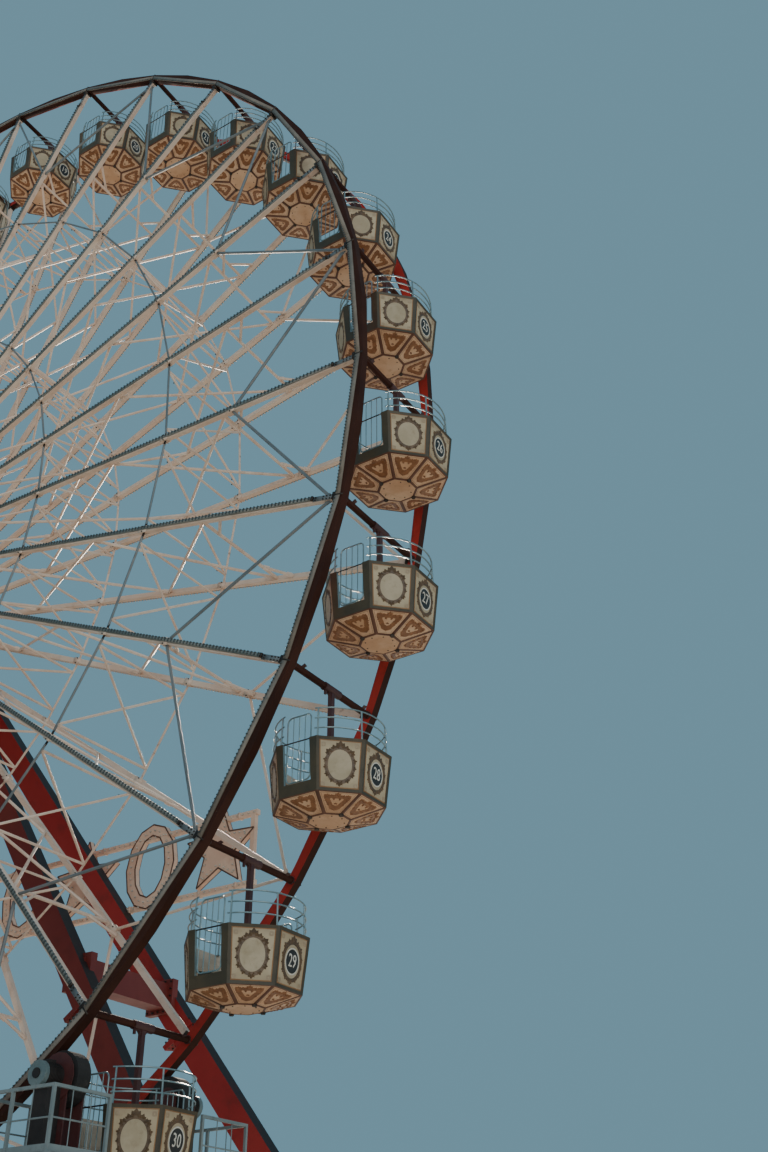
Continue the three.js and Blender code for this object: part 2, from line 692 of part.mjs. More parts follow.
function motorSolid(centre, far) {
  const start = RIM_Y + TYRE_WIDTH / 2 + CHEEK_GAP + CHEEK_THICK + SEAT;
  const [low, high] = yRange(far, start, start + MOTOR_LENGTH);
  const drum = rodAlongY(centre.x, centre.z, low, high, MOTOR_RADIUS, AXLE_SIDES);
  const half = MOTOR_FOOT_WIDTH / 2;
  const foot = boxAt(
    centre.x - half,
    centre.x + half,
    far,
    start,
    start + MOTOR_FOOT_LENGTH,
    PLATFORM_HEIGHT + SEAT,
    centre.z
  );
  return drum.add(foot);
}

function driveGroup() {
  const drives = new THREE.Group();
  const centre = driveCentre();
  for (const [name, far] of [['near', -1], ['far', 1]]) {
    const tyre = meshOf(`drive_tyre_${name}`, tyreSolid(far), PAINT.rubber);
    tyre.position.set(centre.x, 0, centre.z);
    drives.add(tyre);
    drives.add(meshOf(`drive_tower_${name}`, towerSolid(centre, far), PAINT.blueGrey));
    drives.add(meshOf(`drive_motor_${name}`, motorSolid(centre, far), PAINT.steel));
  }
  return drives;
}

const ferrisWheel = new THREE.Group();
ferrisWheel.name = 'ferris_wheel';
ferrisWheel.add(supportGroup());
ferrisWheel.add(wheelGroup());
ferrisWheel.add(cabinGroup());
ferrisWheel.add(meshOf('sign', signSolid(), PAINT.sign));
ferrisWheel.add(driveGroup());

export default ferrisWheel;
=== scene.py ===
# %% [markdown]
# A fairground ferris wheel, dressed for its portrait.
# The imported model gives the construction: rims, spokes, legs, cabins and the axes they turn on. This lesson
# adds what the eye looks for on the real wheel: painted panels with relief ornament, hand rails and gates,
# rows of lamps, the web of thin bracing, bolts, splice plates, and worn paint on everything.
# All sizes are metres, Z is up, the axle lies along Y, and "near" is the side at -Y.

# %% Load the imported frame
import json
import math

import bmesh
import bpy
import numpy as np
from mathutils import Matrix, Vector


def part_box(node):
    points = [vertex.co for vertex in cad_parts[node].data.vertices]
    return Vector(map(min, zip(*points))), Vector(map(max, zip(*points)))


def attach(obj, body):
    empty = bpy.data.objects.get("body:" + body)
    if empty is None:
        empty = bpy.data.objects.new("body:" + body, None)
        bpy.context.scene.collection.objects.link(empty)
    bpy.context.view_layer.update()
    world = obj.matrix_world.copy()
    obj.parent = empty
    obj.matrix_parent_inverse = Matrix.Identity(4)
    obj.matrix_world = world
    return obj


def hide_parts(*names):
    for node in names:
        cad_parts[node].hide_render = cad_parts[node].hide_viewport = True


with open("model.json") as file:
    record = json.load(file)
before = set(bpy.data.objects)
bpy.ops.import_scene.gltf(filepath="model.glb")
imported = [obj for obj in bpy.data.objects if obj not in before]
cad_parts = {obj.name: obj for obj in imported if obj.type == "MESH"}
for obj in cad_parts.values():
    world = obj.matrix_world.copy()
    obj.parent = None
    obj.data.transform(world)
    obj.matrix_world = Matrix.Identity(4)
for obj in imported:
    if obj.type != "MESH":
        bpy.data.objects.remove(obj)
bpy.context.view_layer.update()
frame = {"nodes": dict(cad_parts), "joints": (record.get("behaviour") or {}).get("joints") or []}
joints = {joint["name"]: joint for joint in frame["joints"]}
HUB = Vector(joints["wheel_spin"]["pos_m"])
print("nodes", len(frame["nodes"]), "hub at", tuple(HUB))

# %% [markdown]
# Every place on the wheel is worked out from a few measures of the frame itself: the hub, one cabin axis
# and the boxes of two nodes. So the dressing always fits the construction, and no size is typed twice.

# %% Measure the wheel
CABINS = sum(name.endswith("_hang") for name in joints)
STEP = 2 * math.pi / CABINS
FIRST_CABIN = 26
first_axis = Vector(joints[f"cabin_{FIRST_CABIN}_hang"]["pos_m"]) - HUB
RIM_RADIUS = first_axis.length
REST_TURN = math.atan2(first_axis.z, first_axis.x)
rim_low, rim_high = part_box("rim_near")
RIM_TUBE = rim_high.y - rim_low.y
RIM_Y = -(rim_low.y + rim_high.y) / 2
SPOKE_TUBE = 0.11
INNER_TIE = 8.0
OUTER_TIE = 11.9
SIDES = {"near": -1, "far": 1}
X, Y, Z = Vector((1, 0, 0)), Vector((0, 1, 0)), Vector((0, 0, 1))


def spoke_angle(index):
    return REST_TURN + index * STEP


def on_wheel(radius, angle, y):
    return HUB + Vector((radius * math.cos(angle), y, radius * math.sin(angle)))


def across_spoke(angle):
    """The direction in the wheel's plane, square to a spoke, on its anticlockwise side."""
    return Vector((-math.sin(angle), 0, math.cos(angle)))


print("rim radius", round(RIM_RADIUS, 3), "rims at y", round(RIM_Y, 3), "tube", round(RIM_TUBE, 3))

# %% [markdown]
# The camera stands where the photographer stood: on the ground just outside the wheel's right edge, looking
# up and to the left. A sensor fitted vertically keeps the framing of a tall picture whatever the render
# size.

# %% Camera
CAMERA_PLACE = Vector((26.917, -16.229, 3.159))
CAMERA_YAW = -0.563218
CAMERA_PITCH = 0.572992
CAMERA_ROLL = -0.00733
CAMERA_LENS = 38.106
CAMERA_SENSOR = 36.0
CAMERA_REACH = 400

camera_data = bpy.data.cameras.new("camera")
camera_data.sensor_fit = "VERTICAL"
camera_data.sensor_height = CAMERA_SENSOR
camera_data.lens = CAMERA_LENS
camera_data.clip_end = CAMERA_REACH
camera = bpy.data.objects.new("camera", camera_data)
bpy.context.scene.collection.objects.link(camera)
ahead = Vector(
    (
        math.sin(CAMERA_YAW) * math.cos(CAMERA_PITCH),
        math.cos(CAMERA_YAW) * math.cos(CAMERA_PITCH),
        math.sin(CAMERA_PITCH),
    )
)
level_right = Vector((math.cos(CAMERA_YAW), -math.sin(CAMERA_YAW), 0))
level_up = level_right.cross(ahead)
right = level_right * math.cos(CAMERA_ROLL) + level_up * math.sin(CAMERA_ROLL)
up = level_up * math.cos(CAMERA_ROLL) - level_right * math.sin(CAMERA_ROLL)
camera.matrix_world = Matrix.Translation(CAMERA_PLACE) @ Matrix((right, up, -ahead)).transposed().to_4x4()
bpy.context.scene.camera = camera
print("camera at", tuple(CAMERA_PLACE))

# %% [markdown]
# A plain studio: a pale floor, an even sky of pale blue-grey, one broad warm light from behind the wheel,
# as in the photograph, and a broad cool one from the front so that the faces in shade still read.

# %% Floor and light
FLOOR_RADIUS = 160
FLOOR_SEGMENTS = 96
FLOOR_DROP = 0.002
FLOOR_COLOUR = (0.86, 0.74, 0.62, 1)
FLOOR_ROUGHNESS = 0.9
SKY_COLOUR = (0.150, 0.290, 0.370, 1)
SKY_STRENGTH = 1.0


def broad_sun(name, towards, energy, colour, spread_deg):
    """A sun lamp shining from the given direction, with soft shadow edges."""
    data = bpy.data.lights.new(name, "SUN")
    data.energy = energy
    data.color = colour
    data.angle = math.radians(spread_deg)
    lamp = bpy.data.objects.new(name, data)
    lamp.rotation_euler = Vector(towards).to_track_quat("Z", "Y").to_euler()
    bpy.context.scene.collection.objects.link(lamp)


world = bpy.data.worlds.new("studio")
world.use_nodes = True
sky = world.node_tree.nodes["Background"].inputs
sky["Color"].default_value = SKY_COLOUR
sky["Strength"].default_value = SKY_STRENGTH
bpy.context.scene.world = world
broad_sun("back_light", towards=(-0.54, 0.77, 0.42), energy=3.8, colour=(1.0, 0.84, 0.68), spread_deg=12)
broad_sun("front_light", towards=(0.72, -0.62, 0.12), energy=1.25, colour=(1.0, 0.94, 0.88), spread_deg=60)

floor_shape = bmesh.new()
bmesh.ops.create_circle(floor_shape, cap_ends=True, segments=FLOOR_SEGMENTS, radius=FLOOR_RADIUS)
floor_mesh = bpy.data.meshes.new("studio_floor")
floor_shape.to_mesh(floor_mesh)
floor_shape.free()
floor_mesh.transform(Matrix.Translation((0, 0, -FLOOR_DROP)))
studio_floor = bpy.data.objects.new("studio_floor", floor_mesh)
bpy.context.scene.collection.objects.link(studio_floor)
floor_paint = bpy.data.materials.new("pale_floor")
floor_paint.diffuse_color = FLOOR_COLOUR
floor_paint.use_nodes = True
floor_finish = floor_paint.node_tree.nodes["Principled BSDF"].inputs
floor_finish["Base Color"].default_value = FLOOR_COLOUR
floor_finish["Roughness"].default_value = FLOOR_ROUGHNESS
floor_mesh.materials.append(floor_paint)
print("studio ready")

# %% [markdown]
# Paint is never one flat colour. Each finish below is built from the same few steps: a base colour that
# drifts between two tones, grime in broad soft patches, small chips that show what lies under the paint,
# and a fine bump. The patterns read Object coordinates, in metres, so they stay put when a piece turns.

# %% Node helpers


def add_node(tree, kind, inputs=None, **settings):
    """Adds a node, sets its options, and fills its inputs with values or links."""
    node = tree.nodes.new(kind)
    for name, value in settings.items():
        setattr(node, name, value)
    for name, value in (inputs or {}).items():
        if isinstance(value, bpy.types.NodeSocket):
            tree.links.new(value, node.inputs[name])
        else:
            node.inputs[name].default_value = value
    return node


def noise(tree, place, scale, detail=3.0, roughness=0.6):
    settings = {"Vector": place, "Scale": scale, "Detail": detail, "Roughness": roughness}
    return add_node(tree, "ShaderNodeTexNoise", settings).outputs["Fac"]


def ramp(tree, value, low, high):
    """A soft step: nought below low, one above high."""
    settings = {"Value": value, "From Min": low, "From Max": high}
    return add_node(tree, "ShaderNodeMapRange", settings, interpolation_type="SMOOTHSTEP").outputs["Result"]


def math_node(tree, operation, first, second=0.0):
    node = add_node(tree, "ShaderNodeMath", {0: first, 1: second}, operation=operation)
    return node.outputs["Value"]


def mix(tree, share, first, second):
    """Mixes two colours; share may be a socket or a number."""
    node = tree.nodes.new("ShaderNodeMix")
    node.data_type = "RGBA"
    for socket, value in ((node.inputs[0], share), (node.inputs[6], first), (node.inputs[7], second)):
        if isinstance(value, bpy.types.NodeSocket):
            tree.links.new(value, socket)
        elif isinstance(value, tuple):
            socket.default_value = (*value, 1.0)
        else:
            socket.default_value = value
    return node.outputs[2]


def shader_of(material):
    return material.node_tree.nodes["Principled BSDF"]


# %% [markdown]
# One function makes every painted finish; the cells after it only name colours. Extra marks, such as rust
# at the joints or a second colour on some faces, are passed in as a small function that repaints the base
# colour.

# %% Painted finish
DRIFT_DETAIL = 4.0
DRIFT_RANGE = (0.35, 0.68)
SOOT_SCALE, SOOT_DETAIL, SOOT_GRIT = 3.1, 6.0, 0.72
SOOT_RANGE = (0.50, 0.78)
SOOT_SHARE = 0.62
FLAKE_SCALE, FLAKE_DETAIL, FLAKE_GRIT = 19.0, 5.0, 0.7
FLAKE_RANGE = (0.74, 0.77)
ROUGHNESS_RANGE = (-0.1, 0.22)
BUMP_DETAIL = 2.0
BUMP_STRENGTH = 0.35
BUMP_HEIGHT = 0.002


def painted(name, base, worn, grime, roughness=0.5, metallic=0.0, patch=0.8, chips=0.0,
            under=(0.12, 0.05, 0.025), extra=None, coat=0.0, grain=60.0, shine=0.5):
    """Paint with drift between two tones, grime in patches, chips to the under colour and a fine bump."""
    material = bpy.data.materials.new(name)
    material.use_nodes = True
    tree = material.node_tree
    place = add_node(tree, "ShaderNodeTexCoord").outputs["Object"]
    drift = ramp(tree, noise(tree, place, patch, DRIFT_DETAIL), *DRIFT_RANGE)
    colour = mix(tree, drift, base, worn)
    if extra:
        colour = extra(tree, place, colour)
    soot = noise(tree, place, patch * SOOT_SCALE, SOOT_DETAIL, SOOT_GRIT)
    soot_share = math_node(tree, "MULTIPLY", ramp(tree, soot, *SOOT_RANGE), SOOT_SHARE)
    colour = mix(tree, soot_share, colour, grime)
    if chips > 0:
        flake = noise(tree, place, patch * FLAKE_SCALE, FLAKE_DETAIL, FLAKE_GRIT)
        colour = mix(tree, ramp(tree, flake, *(level - chips for level in FLAKE_RANGE)), colour, under)
    shader = shader_of(material)
    tree.links.new(colour, shader.inputs["Base Color"])
    smoothest, roughest = (roughness + change for change in ROUGHNESS_RANGE)
    rough = add_node(tree, "ShaderNodeMapRange", {"Value": soot, "To Min": smoothest, "To Max": roughest})
    tree.links.new(rough.outputs["Result"], shader.inputs["Roughness"])
    shader.inputs["Metallic"].default_value = metallic
    shader.inputs["Coat Weight"].default_value = coat
    shader.inputs["Specular IOR Level"].default_value = shine
    fine = noise(tree, place, grain, BUMP_DETAIL)
    settings = {"Height": fine, "Strength": BUMP_STRENGTH, "Distance": BUMP_HEIGHT}
    bump = add_node(tree, "ShaderNodeBump", settings)
    tree.links.new(bump.outputs["Normal"], shader.inputs["Normal"])
    return material


# %% [markdown]
# The wheel's own colours. The rims are red on the faces that look inwards and a dusty dark maroon on the
# rest. The spokes are cream-white, with rust where the tie bars and the rim meet them, so their paint
# measures how far a point lies from the hub. The legs are red; the darker red of the inner legs and the
# slate grey on the legs' upper side are painted shade.

# %% Paints of the wheel and its supports
# radius of a joint, and how far its rust reaches
RUST_JOINTS = ((INNER_TIE, 0.32), (OUTER_TIE, 0.4), (RIM_RADIUS - 0.5, 0.5))
RUST_CORE = 0.05
RUST_SCALE, RUST_DETAIL, RUST_GRIT = 5.5, 6.0, 0.7
RUST_RANGE = (0.53, 0.72)
RUST = (0.30, 0.15, 0.08)
INBOARD_RANGE = (-0.6, -0.9)
INBOARD_RED = (0.42, 0.035, 0.028)
# faces of the legs that look up get dark slate as painted shade
UPPER_SHADE_RANGE = (0.38, 0.48)
UPPER_PAINTED_SHADE = (0.024, 0.019, 0.020)


def hub_distance(tree, place):
    """How far a point lies from the hub's axis."""
    settings = {"Vector": place, "Location": (0, 0, -HUB.z), "Scale": (1, 0, 1)}
    flat = add_node(tree, "ShaderNodeMapping", settings).outputs["Vector"]
    return add_node(tree, "ShaderNodeVectorMath", {0: flat}, operation="LENGTH").outputs["Value"]


def rust_at_joints(tree, place, colour):
    """Stains the paint around the tie bars and the spoke ends."""
    distance = hub_distance(tree, place)
    stain = 0.0
    for radius, reach in RUST_JOINTS:
        away = math_node(tree, "ABSOLUTE", math_node(tree, "SUBTRACT", distance, radius))
        stain = math_node(tree, "ADD", ramp(tree, away, reach, RUST_CORE), stain)
    blotch = ramp(tree, noise(tree, place, RUST_SCALE, RUST_DETAIL, RUST_GRIT), *RUST_RANGE)
    return mix(tree, math_node(tree, "MULTIPLY", blotch, stain), colour, RUST)


def normal_part(tree, axis):
    normal = add_node(tree, "ShaderNodeTexCoord").outputs["Normal"]
    return add_node(tree, "ShaderNodeSeparateXYZ", {"Vector": normal}).outputs[axis]


def red_inboard(tree, place, colour):
    """Repaints the faces that look towards the wheel's middle plane."""
    side = add_node(tree, "ShaderNodeSeparateXYZ", {"Vector": place}).outputs["Y"]
    facing = math_node(tree, "MULTIPLY", side, normal_part(tree, "Y"))
    return mix(tree, ramp(tree, facing, *INBOARD_RANGE), colour, INBOARD_RED)


def slate_upper_side(tree, place, colour):
    """Paints dark slate, as painted shade, on the faces of a leg that look up along the wheel's plane."""
    return mix(tree, ramp(tree, normal_part(tree, "Z"), *UPPER_SHADE_RANGE), colour, UPPER_PAINTED_SHADE)


rim_paint = painted(
    "rim_maroon_paint", base=(0.034, 0.011, 0.007), worn=(0.054, 0.018, 0.011), grime=(0.040, 0.022, 0.013),
    roughness=0.66, patch=0.7, chips=0.035, under=(0.16, 0.11, 0.08), extra=red_inboard, shine=0.2)
beam_maroon = painted(
    "beam_maroon_paint", base=(0.050, 0.018, 0.019), worn=(0.080, 0.029, 0.028),
    grime=(0.040, 0.026, 0.021), roughness=0.45, patch=1.2, chips=0.03, under=(0.17, 0.12, 0.09))
spoke_cream = painted(
    "spoke_cream_paint", base=(0.68, 0.51, 0.41), worn=(0.76, 0.63, 0.53), grime=(0.42, 0.27, 0.18),
    roughness=0.42, patch=0.55, chips=0.03, under=(0.22, 0.10, 0.05), extra=rust_at_joints)
brace_cream = painted(
    "bracing_cream_paint", base=(0.70, 0.53, 0.43), worn=(0.80, 0.68, 0.58), grime=(0.42, 0.28, 0.19),
    roughness=0.4, patch=1.1, chips=0.035, under=(0.24, 0.11, 0.06))
strip_teal = painted(
    "lamp_strip_teal", base=(0.125, 0.165, 0.170), worn=(0.215, 0.225, 0.210), grime=(0.07, 0.075, 0.07),
    roughness=0.42, metallic=0.2, patch=0.45)
strip_pale = painted(
    "rim_strip_grey", base=(0.190, 0.172, 0.150), worn=(0.270, 0.240, 0.205), grime=(0.10, 0.08, 0.06),
    roughness=0.55, patch=1.6, chips=0.02, shine=0.3)
# steel grey: the splice plates' own colour, and painted shade on the cream of the near side's tie bars and
# rim vees
steel_and_painted_shade = painted(
    "steel_grey_and_near_bar_painted_shade", base=(0.150, 0.185, 0.205), worn=(0.235, 0.250, 0.255), grime=(0.13, 0.11, 0.10),
    roughness=0.4, metallic=0.25, patch=0.9, chips=0.02)
leg_red = painted(
    "leg_bright_red_paint", base=(0.245, 0.016, 0.018), worn=(0.30, 0.026, 0.025),
    grime=(0.12, 0.02, 0.019), roughness=0.5, patch=0.35, chips=0.0, extra=slate_upper_side, shine=0.3)
# the leg red darkened as painted shade, for the inner legs and the bearing heads
leg_red_painted_shade = painted(
    "leg_red_painted_shade_paint", base=(0.125, 0.017, 0.017), worn=(0.17, 0.025, 0.022), grime=(0.06, 0.015, 0.014),
    roughness=0.5, patch=0.35, chips=0.0, extra=slate_upper_side, shine=0.3)
brace_red = painted(
    "leg_brace_red_paint", base=(0.155, 0.022, 0.019), worn=(0.205, 0.034, 0.027),
    grime=(0.08, 0.016, 0.014), roughness=0.45, patch=0.6, chips=0.01)
bolt_steel = painted(
    "dark_bolt_steel", base=(0.035, 0.032, 0.032), worn=(0.075, 0.06, 0.05), grime=(0.12, 0.06, 0.035),
    roughness=0.5, metallic=0.7, patch=5.0)
lamp_glass = painted(
    "opal_lamp_glass", base=(0.50, 0.49, 0.45), worn=(0.62, 0.60, 0.54), grime=(0.30, 0.26, 0.20),
    roughness=0.25, patch=3.0, coat=0.4)
# dark lamp caps: the dark is painted shade
lamp_cap = painted(
    "lamp_cap_painted_shade", base=(0.026, 0.046, 0.052), worn=(0.050, 0.072, 0.076), grime=(0.030, 0.030, 0.027),
    roughness=0.3, patch=3.0, coat=0.3)
print("wheel paints ready")

# %% [markdown]
# The cabins' colours: cream panels in an olive frame with an ochre line, brown ornament, tan panels
# underneath with dark strips, their tan lightened as painted sunlight, and pale blue on rails and sills. The
# panels carry a soft tide of dirt towards their lower edge. It reads an attribute with each cabin's own
# coordinates, so all cabins weather alike.

# %% Paints of the cabins
WALL_TOP = -1.40
WALL_BOTTOM = -2.34
CABIN_BASE = -2.52
DIRT_AT_FOOT = (WALL_BOTTOM + 0.30, WALL_BOTTOM + 0.02)
DIRT_AT_TOP = (WALL_TOP - 0.22, WALL_TOP - 0.04)
DIRT_SCALE, DIRT_DETAIL = 3.5, 5.0
DIRT = (0.30, 0.22, 0.14)


def dirt_at_foot(tree, place, colour):
    """Darkens a wall towards its lower edge and just under its top band."""
    local = add_node(tree, "ShaderNodeAttribute", attribute_name="local").outputs["Vector"]
    height = add_node(tree, "ShaderNodeSeparateXYZ", {"Vector": local}).outputs["Z"]
    low, high = ramp(tree, height, *DIRT_AT_FOOT), ramp(tree, height, *DIRT_AT_TOP)
    both = math_node(tree, "ADD", low, high)
    tide = math_node(tree, "MULTIPLY", both, noise(tree, place, DIRT_SCALE, DIRT_DETAIL))
    return mix(tree, tide, colour, DIRT)


panel_cream = painted(
    "panel_cream_paint", base=(0.43, 0.34, 0.215), worn=(0.51, 0.42, 0.28), grime=(0.26, 0.18, 0.10),
    roughness=0.5, patch=1.3, chips=0.01, under=(0.25, 0.17, 0.10), extra=dirt_at_foot)
disc_cream = painted(
    "disc_cream_paint", base=(0.38, 0.31, 0.20), worn=(0.47, 0.39, 0.27), grime=(0.25, 0.18, 0.10),
    roughness=0.45, patch=2.2)
trim_olive = painted(
    "trim_olive_paint", base=(0.048, 0.040, 0.023), worn=(0.072, 0.054, 0.028), grime=(0.026, 0.022, 0.015),
    roughness=0.45, patch=1.7, chips=0.02, under=(0.14, 0.09, 0.045))
trim_ochre = painted(
    "line_ochre_paint", base=(0.235, 0.105, 0.034), worn=(0.30, 0.155, 0.060), grime=(0.11, 0.055, 0.025),
    roughness=0.5, patch=2.5)
ornament_brown = painted(
    "ornament_brown_paint", base=(0.078, 0.043, 0.017), worn=(0.130, 0.072, 0.029),
    grime=(0.038, 0.024, 0.013), roughness=0.42, patch=6.0, coat=0.2)
rosette_brown = painted(
    "rosette_fawn_paint", base=(0.33, 0.25, 0.16), worn=(0.40, 0.31, 0.21), grime=(0.24, 0.17, 0.11),
    roughness=0.5, patch=4.0)
# the underside tan, lightened as painted sunlight
cone_tan_and_painted_sun = painted(
    "underside_tan_and_painted_sunlight", base=(0.58, 0.345, 0.200), worn=(0.70, 0.48, 0.32), grime=(0.36, 0.19, 0.100),
    roughness=0.5, patch=1.6, chips=0.015, under=(0.22, 0.12, 0.07))
cone_dark = painted(
    "underside_strip_paint", base=(0.098, 0.036, 0.021), worn=(0.145, 0.060, 0.034),
    grime=(0.035, 0.022, 0.014), roughness=0.5, patch=2.0)
cartouche_brown = painted(
    "cartouche_russet_paint", base=(0.205, 0.078, 0.026), worn=(0.300, 0.130, 0.050),
    grime=(0.110, 0.048, 0.020), roughness=0.45, patch=6.0, coat=0.15)
inside_cream = painted(
    "inside_cream_paint", base=(0.50, 0.43, 0.34), worn=(0.60, 0.53, 0.44), grime=(0.28, 0.22, 0.16),
    roughness=0.5, patch=1.8)
pale_blue = painted(
    "rail_pale_blue_paint", base=(0.16, 0.25, 0.28), worn=(0.25, 0.35, 0.37), grime=(0.10, 0.12, 0.11),
    roughness=0.27, metallic=0.35, patch=3.0, coat=0.3)
floor_dark = painted(
    "cabin_floor_rubber", base=(0.030, 0.028, 0.027), worn=(0.05, 0.045, 0.04), grime=(0.09, 0.08, 0.065),
    roughness=0.8, patch=3.0)
plate_black = painted(
    "number_plate_black", base=(0.012, 0.012, 0.012), worn=(0.025, 0.023, 0.022), grime=(0.06, 0.05, 0.04),
    roughness=0.4, patch=4.0)
number_white = painted(
    "number_white_paint", base=(0.70, 0.68, 0.62), worn=(0.60, 0.57, 0.50), grime=(0.40, 0.36, 0.30),
    roughness=0.5, patch=6.0)
print("cabin paints ready")

# %% [markdown]
# Many pieces are the same small shape many times: lamps, bolts, thin tubes. Each shape is made once with
# bmesh operators, and numpy then lays out the copies and joins them into one mesh, which is far quicker
# than thousands of single objects. A place is a 4 by 4 matrix, so a copy can be turned and stretched too.

# %% Shapes and stamping


def shape_of(bm):
    """The points, corners and face sizes of a finished bmesh, ready to be stamped."""
    bmesh.ops.recalc_face_normals(bm, faces=bm.faces[:])
    bm.verts.index_update()
    points = np.array([vert.co[:] for vert in bm.verts])
    corners = np.array([vert.index for face in bm.faces for vert in face.verts])
    sizes = np.array([len(face.verts) for face in bm.faces])
    bm.free()
    return points, corners, sizes


def box_shape():
    bm = bmesh.new()
    bmesh.ops.create_cube(bm, size=1)
    return shape_of(bm)


def tube_shape(sides, top=1.0):
    """A closed round bar of unit width and height along Z; top narrows its upper end."""
    bm = bmesh.new()
    bmesh.ops.create_cone(bm, cap_ends=True, segments=sides, radius1=0.5, radius2=0.5 * top, depth=1)
    return shape_of(bm)


BOX, TUBE, ROUND = box_shape(), tube_shape(6), tube_shape(16)
HEX_BOLT, LAMP = tube_shape(6, 0.85), tube_shape(5, 0.55)


def ring_outline(half_x, half_y, wave=0, count=1):
    """An oval, with its edge swelling out in waves where a wave is given."""
    def outline(angle):
        swell = 1 + wave * abs(math.sin(count * angle))
        return half_x * swell * math.cos(angle), half_y * swell * math.sin(angle)
    return outline


def points_of(made):
    """The points among the parts that an operator made."""
    return [item for item in made if isinstance(item, bmesh.types.BMVert)]


def waved_band(outer, inner, segments, thick):
    """A flat ring lying on XY, between two outlines, raised along Z."""
    bm = bmesh.new()
    for outline in (outer, inner):
        for vert in bmesh.ops.create_circle(bm, segments=segments, radius=1)["verts"]:
            vert.co.x, vert.co.y = outline(math.atan2(vert.co.y, vert.co.x))
    band = bmesh.ops.bridge_loops(bm, edges=bm.edges[:])["faces"]
    raised = bmesh.ops.extrude_face_region(bm, geom=band)["geom"]
    bmesh.ops.translate(bm, verts=points_of(raised), vec=(0, 0, thick))
    return shape_of(bm)


def bar_place(start, end, wide, deep, sideways):
    """Stretches a unit shape from start to end, wide along sideways and deep across it."""
    along = (end - start).normalized()
    side = (sideways - along * sideways.dot(along)).normalized()
    place = Matrix((side * wide, along.cross(side) * deep, end - start)).transposed().to_4x4()
    place.translation = (start + end) / 2
    return place


def stud_place(foot, out, wide, tall):
    """Stands a unit shape on a point, along out."""
    sideways = X if abs(out.normalized().x) < 0.9 else Z
    return bar_place(foot, foot + out.normalized() * tall, wide, wide, sideways)


print("shapes ready")

# %% [markdown]
# The copies are gathered here. A piece of the scene is one such joined mesh, with its paints, the body it
# rides on, and the number of its triangles told at once, so that none grows too heavy unseen.

# %% Pieces made of stamps


def triangles(mesh):
    return sum(len(polygon.vertices) - 2 for polygon in mesh.polygons)


def finish_piece(name, mesh, body, finishes, slot=None, smooth_deg=None):
    """Makes a mesh a piece of the scene: paints, shading and the body it rides on; slot is not used."""
    for finish in finishes:
        mesh.materials.append(finish)
    if smooth_deg is not None:
        mesh.polygons.foreach_set("use_smooth", [True] * len(mesh.polygons))
        mesh.set_sharp_from_angle(angle=math.radians(smooth_deg))
    piece = bpy.data.objects.new(name, mesh)
    bpy.context.scene.collection.objects.link(piece)
    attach(piece, body)
    return piece


class Stamps:
    """Placed copies of shapes, gathered into one mesh with one finish for each stamp."""

    def __init__(self):
        self.points, self.corners, self.sizes, self.finishes = [], [], [], []
        self.count = 0

    def stamp(self, shape, places, finish=0):
        points, corners, sizes = shape
        places = np.array([np.array(place) for place in places])
        turned = np.einsum("kij,nj->kni", places[:, :3, :3], points) + places[:, None, :3, 3]
        shift = self.count + len(points) * np.arange(len(places))
        self.points.append(turned.reshape(-1, 3))
        self.corners.append((corners[None, :] + shift[:, None]).ravel())
        self.sizes.append(np.tile(sizes, len(places)))
        self.finishes.append(np.full(len(sizes) * len(places), finish))
        self.count += len(points) * len(places)

    def bar(self, shape, start, end, wide, deep, sideways, finish=0):
        self.stamp(shape, [bar_place(start, end, wide, deep, sideways)], finish)

    def disc(self, foot, along, radius, finish=0):
        """A round plate that stands on foot and is as thick as along is long."""
        self.bar(ROUND, foot, foot + along, 2 * radius, 2 * radius, X, finish)

    def studs(self, shape, feet, out, size, finish=0):
        """One small shape on each foot; size is its width and height."""
        self.stamp(shape, [stud_place(foot, out, *size) for foot in feet], finish)

    def mesh(self, name):
        mesh = bpy.data.meshes.new(name)
        corners, sizes = np.concatenate(self.corners), np.concatenate(self.sizes)
        mesh.vertices.add(self.count)
        mesh.vertices.foreach_set("co", np.concatenate(self.points).astype(np.float32).ravel())
        mesh.loops.add(len(corners))
        mesh.loops.foreach_set("vertex_index", corners.astype(np.int32))
        mesh.polygons.add(len(sizes))
        mesh.polygons.foreach_set("loop_start", (np.cumsum(sizes) - sizes).astype(np.int32))
        mesh.polygons.foreach_set("material_index", np.concatenate(self.finishes).astype(np.int32))
        mesh.update(calc_edges=True)
        return mesh

    def piece(self, name, body, finishes, slot=None, smooth_deg=None):
        made = finish_piece(name, self.mesh(name), body, finishes, slot, smooth_deg)
        print(name, triangles(made.data), "triangles")
        return made


# %% [markdown]
# The wheel's frame nodes keep their shape and only get their paint. Bearing heads, motors and towers too.

# %% Paint the frame nodes
DRIVE_X = joints["tyre_near_spin"]["pos_m"][0]
CHEEK_HALF_X, CHEEK_MAX_Y, CHEEK_LOW_Z = 0.27, 1.52, 5.81
CHEEK_MAROON = (0.085, 0.022, 0.021)


def maroon_cheeks(tree, place, colour):
    """Repaints the plates that hold a drive tyre."""
    parts = add_node(tree, "ShaderNodeSeparateXYZ", {"Vector": place})
    aside = math_node(tree, "ABSOLUTE", math_node(tree, "SUBTRACT", parts.outputs["X"], DRIVE_X))
    near = math_node(tree, "LESS_THAN", aside, CHEEK_HALF_X)
    inner = math_node(tree, "LESS_THAN", math_node(tree, "ABSOLUTE", parts.outputs["Y"]), CHEEK_MAX_Y)
    high = math_node(tree, "GREATER_THAN", parts.outputs["Z"], CHEEK_LOW_Z)
    share = math_node(tree, "MULTIPLY", math_node(tree, "MULTIPLY", near, inner), high)
    return mix(tree, share, colour, CHEEK_MAROON)


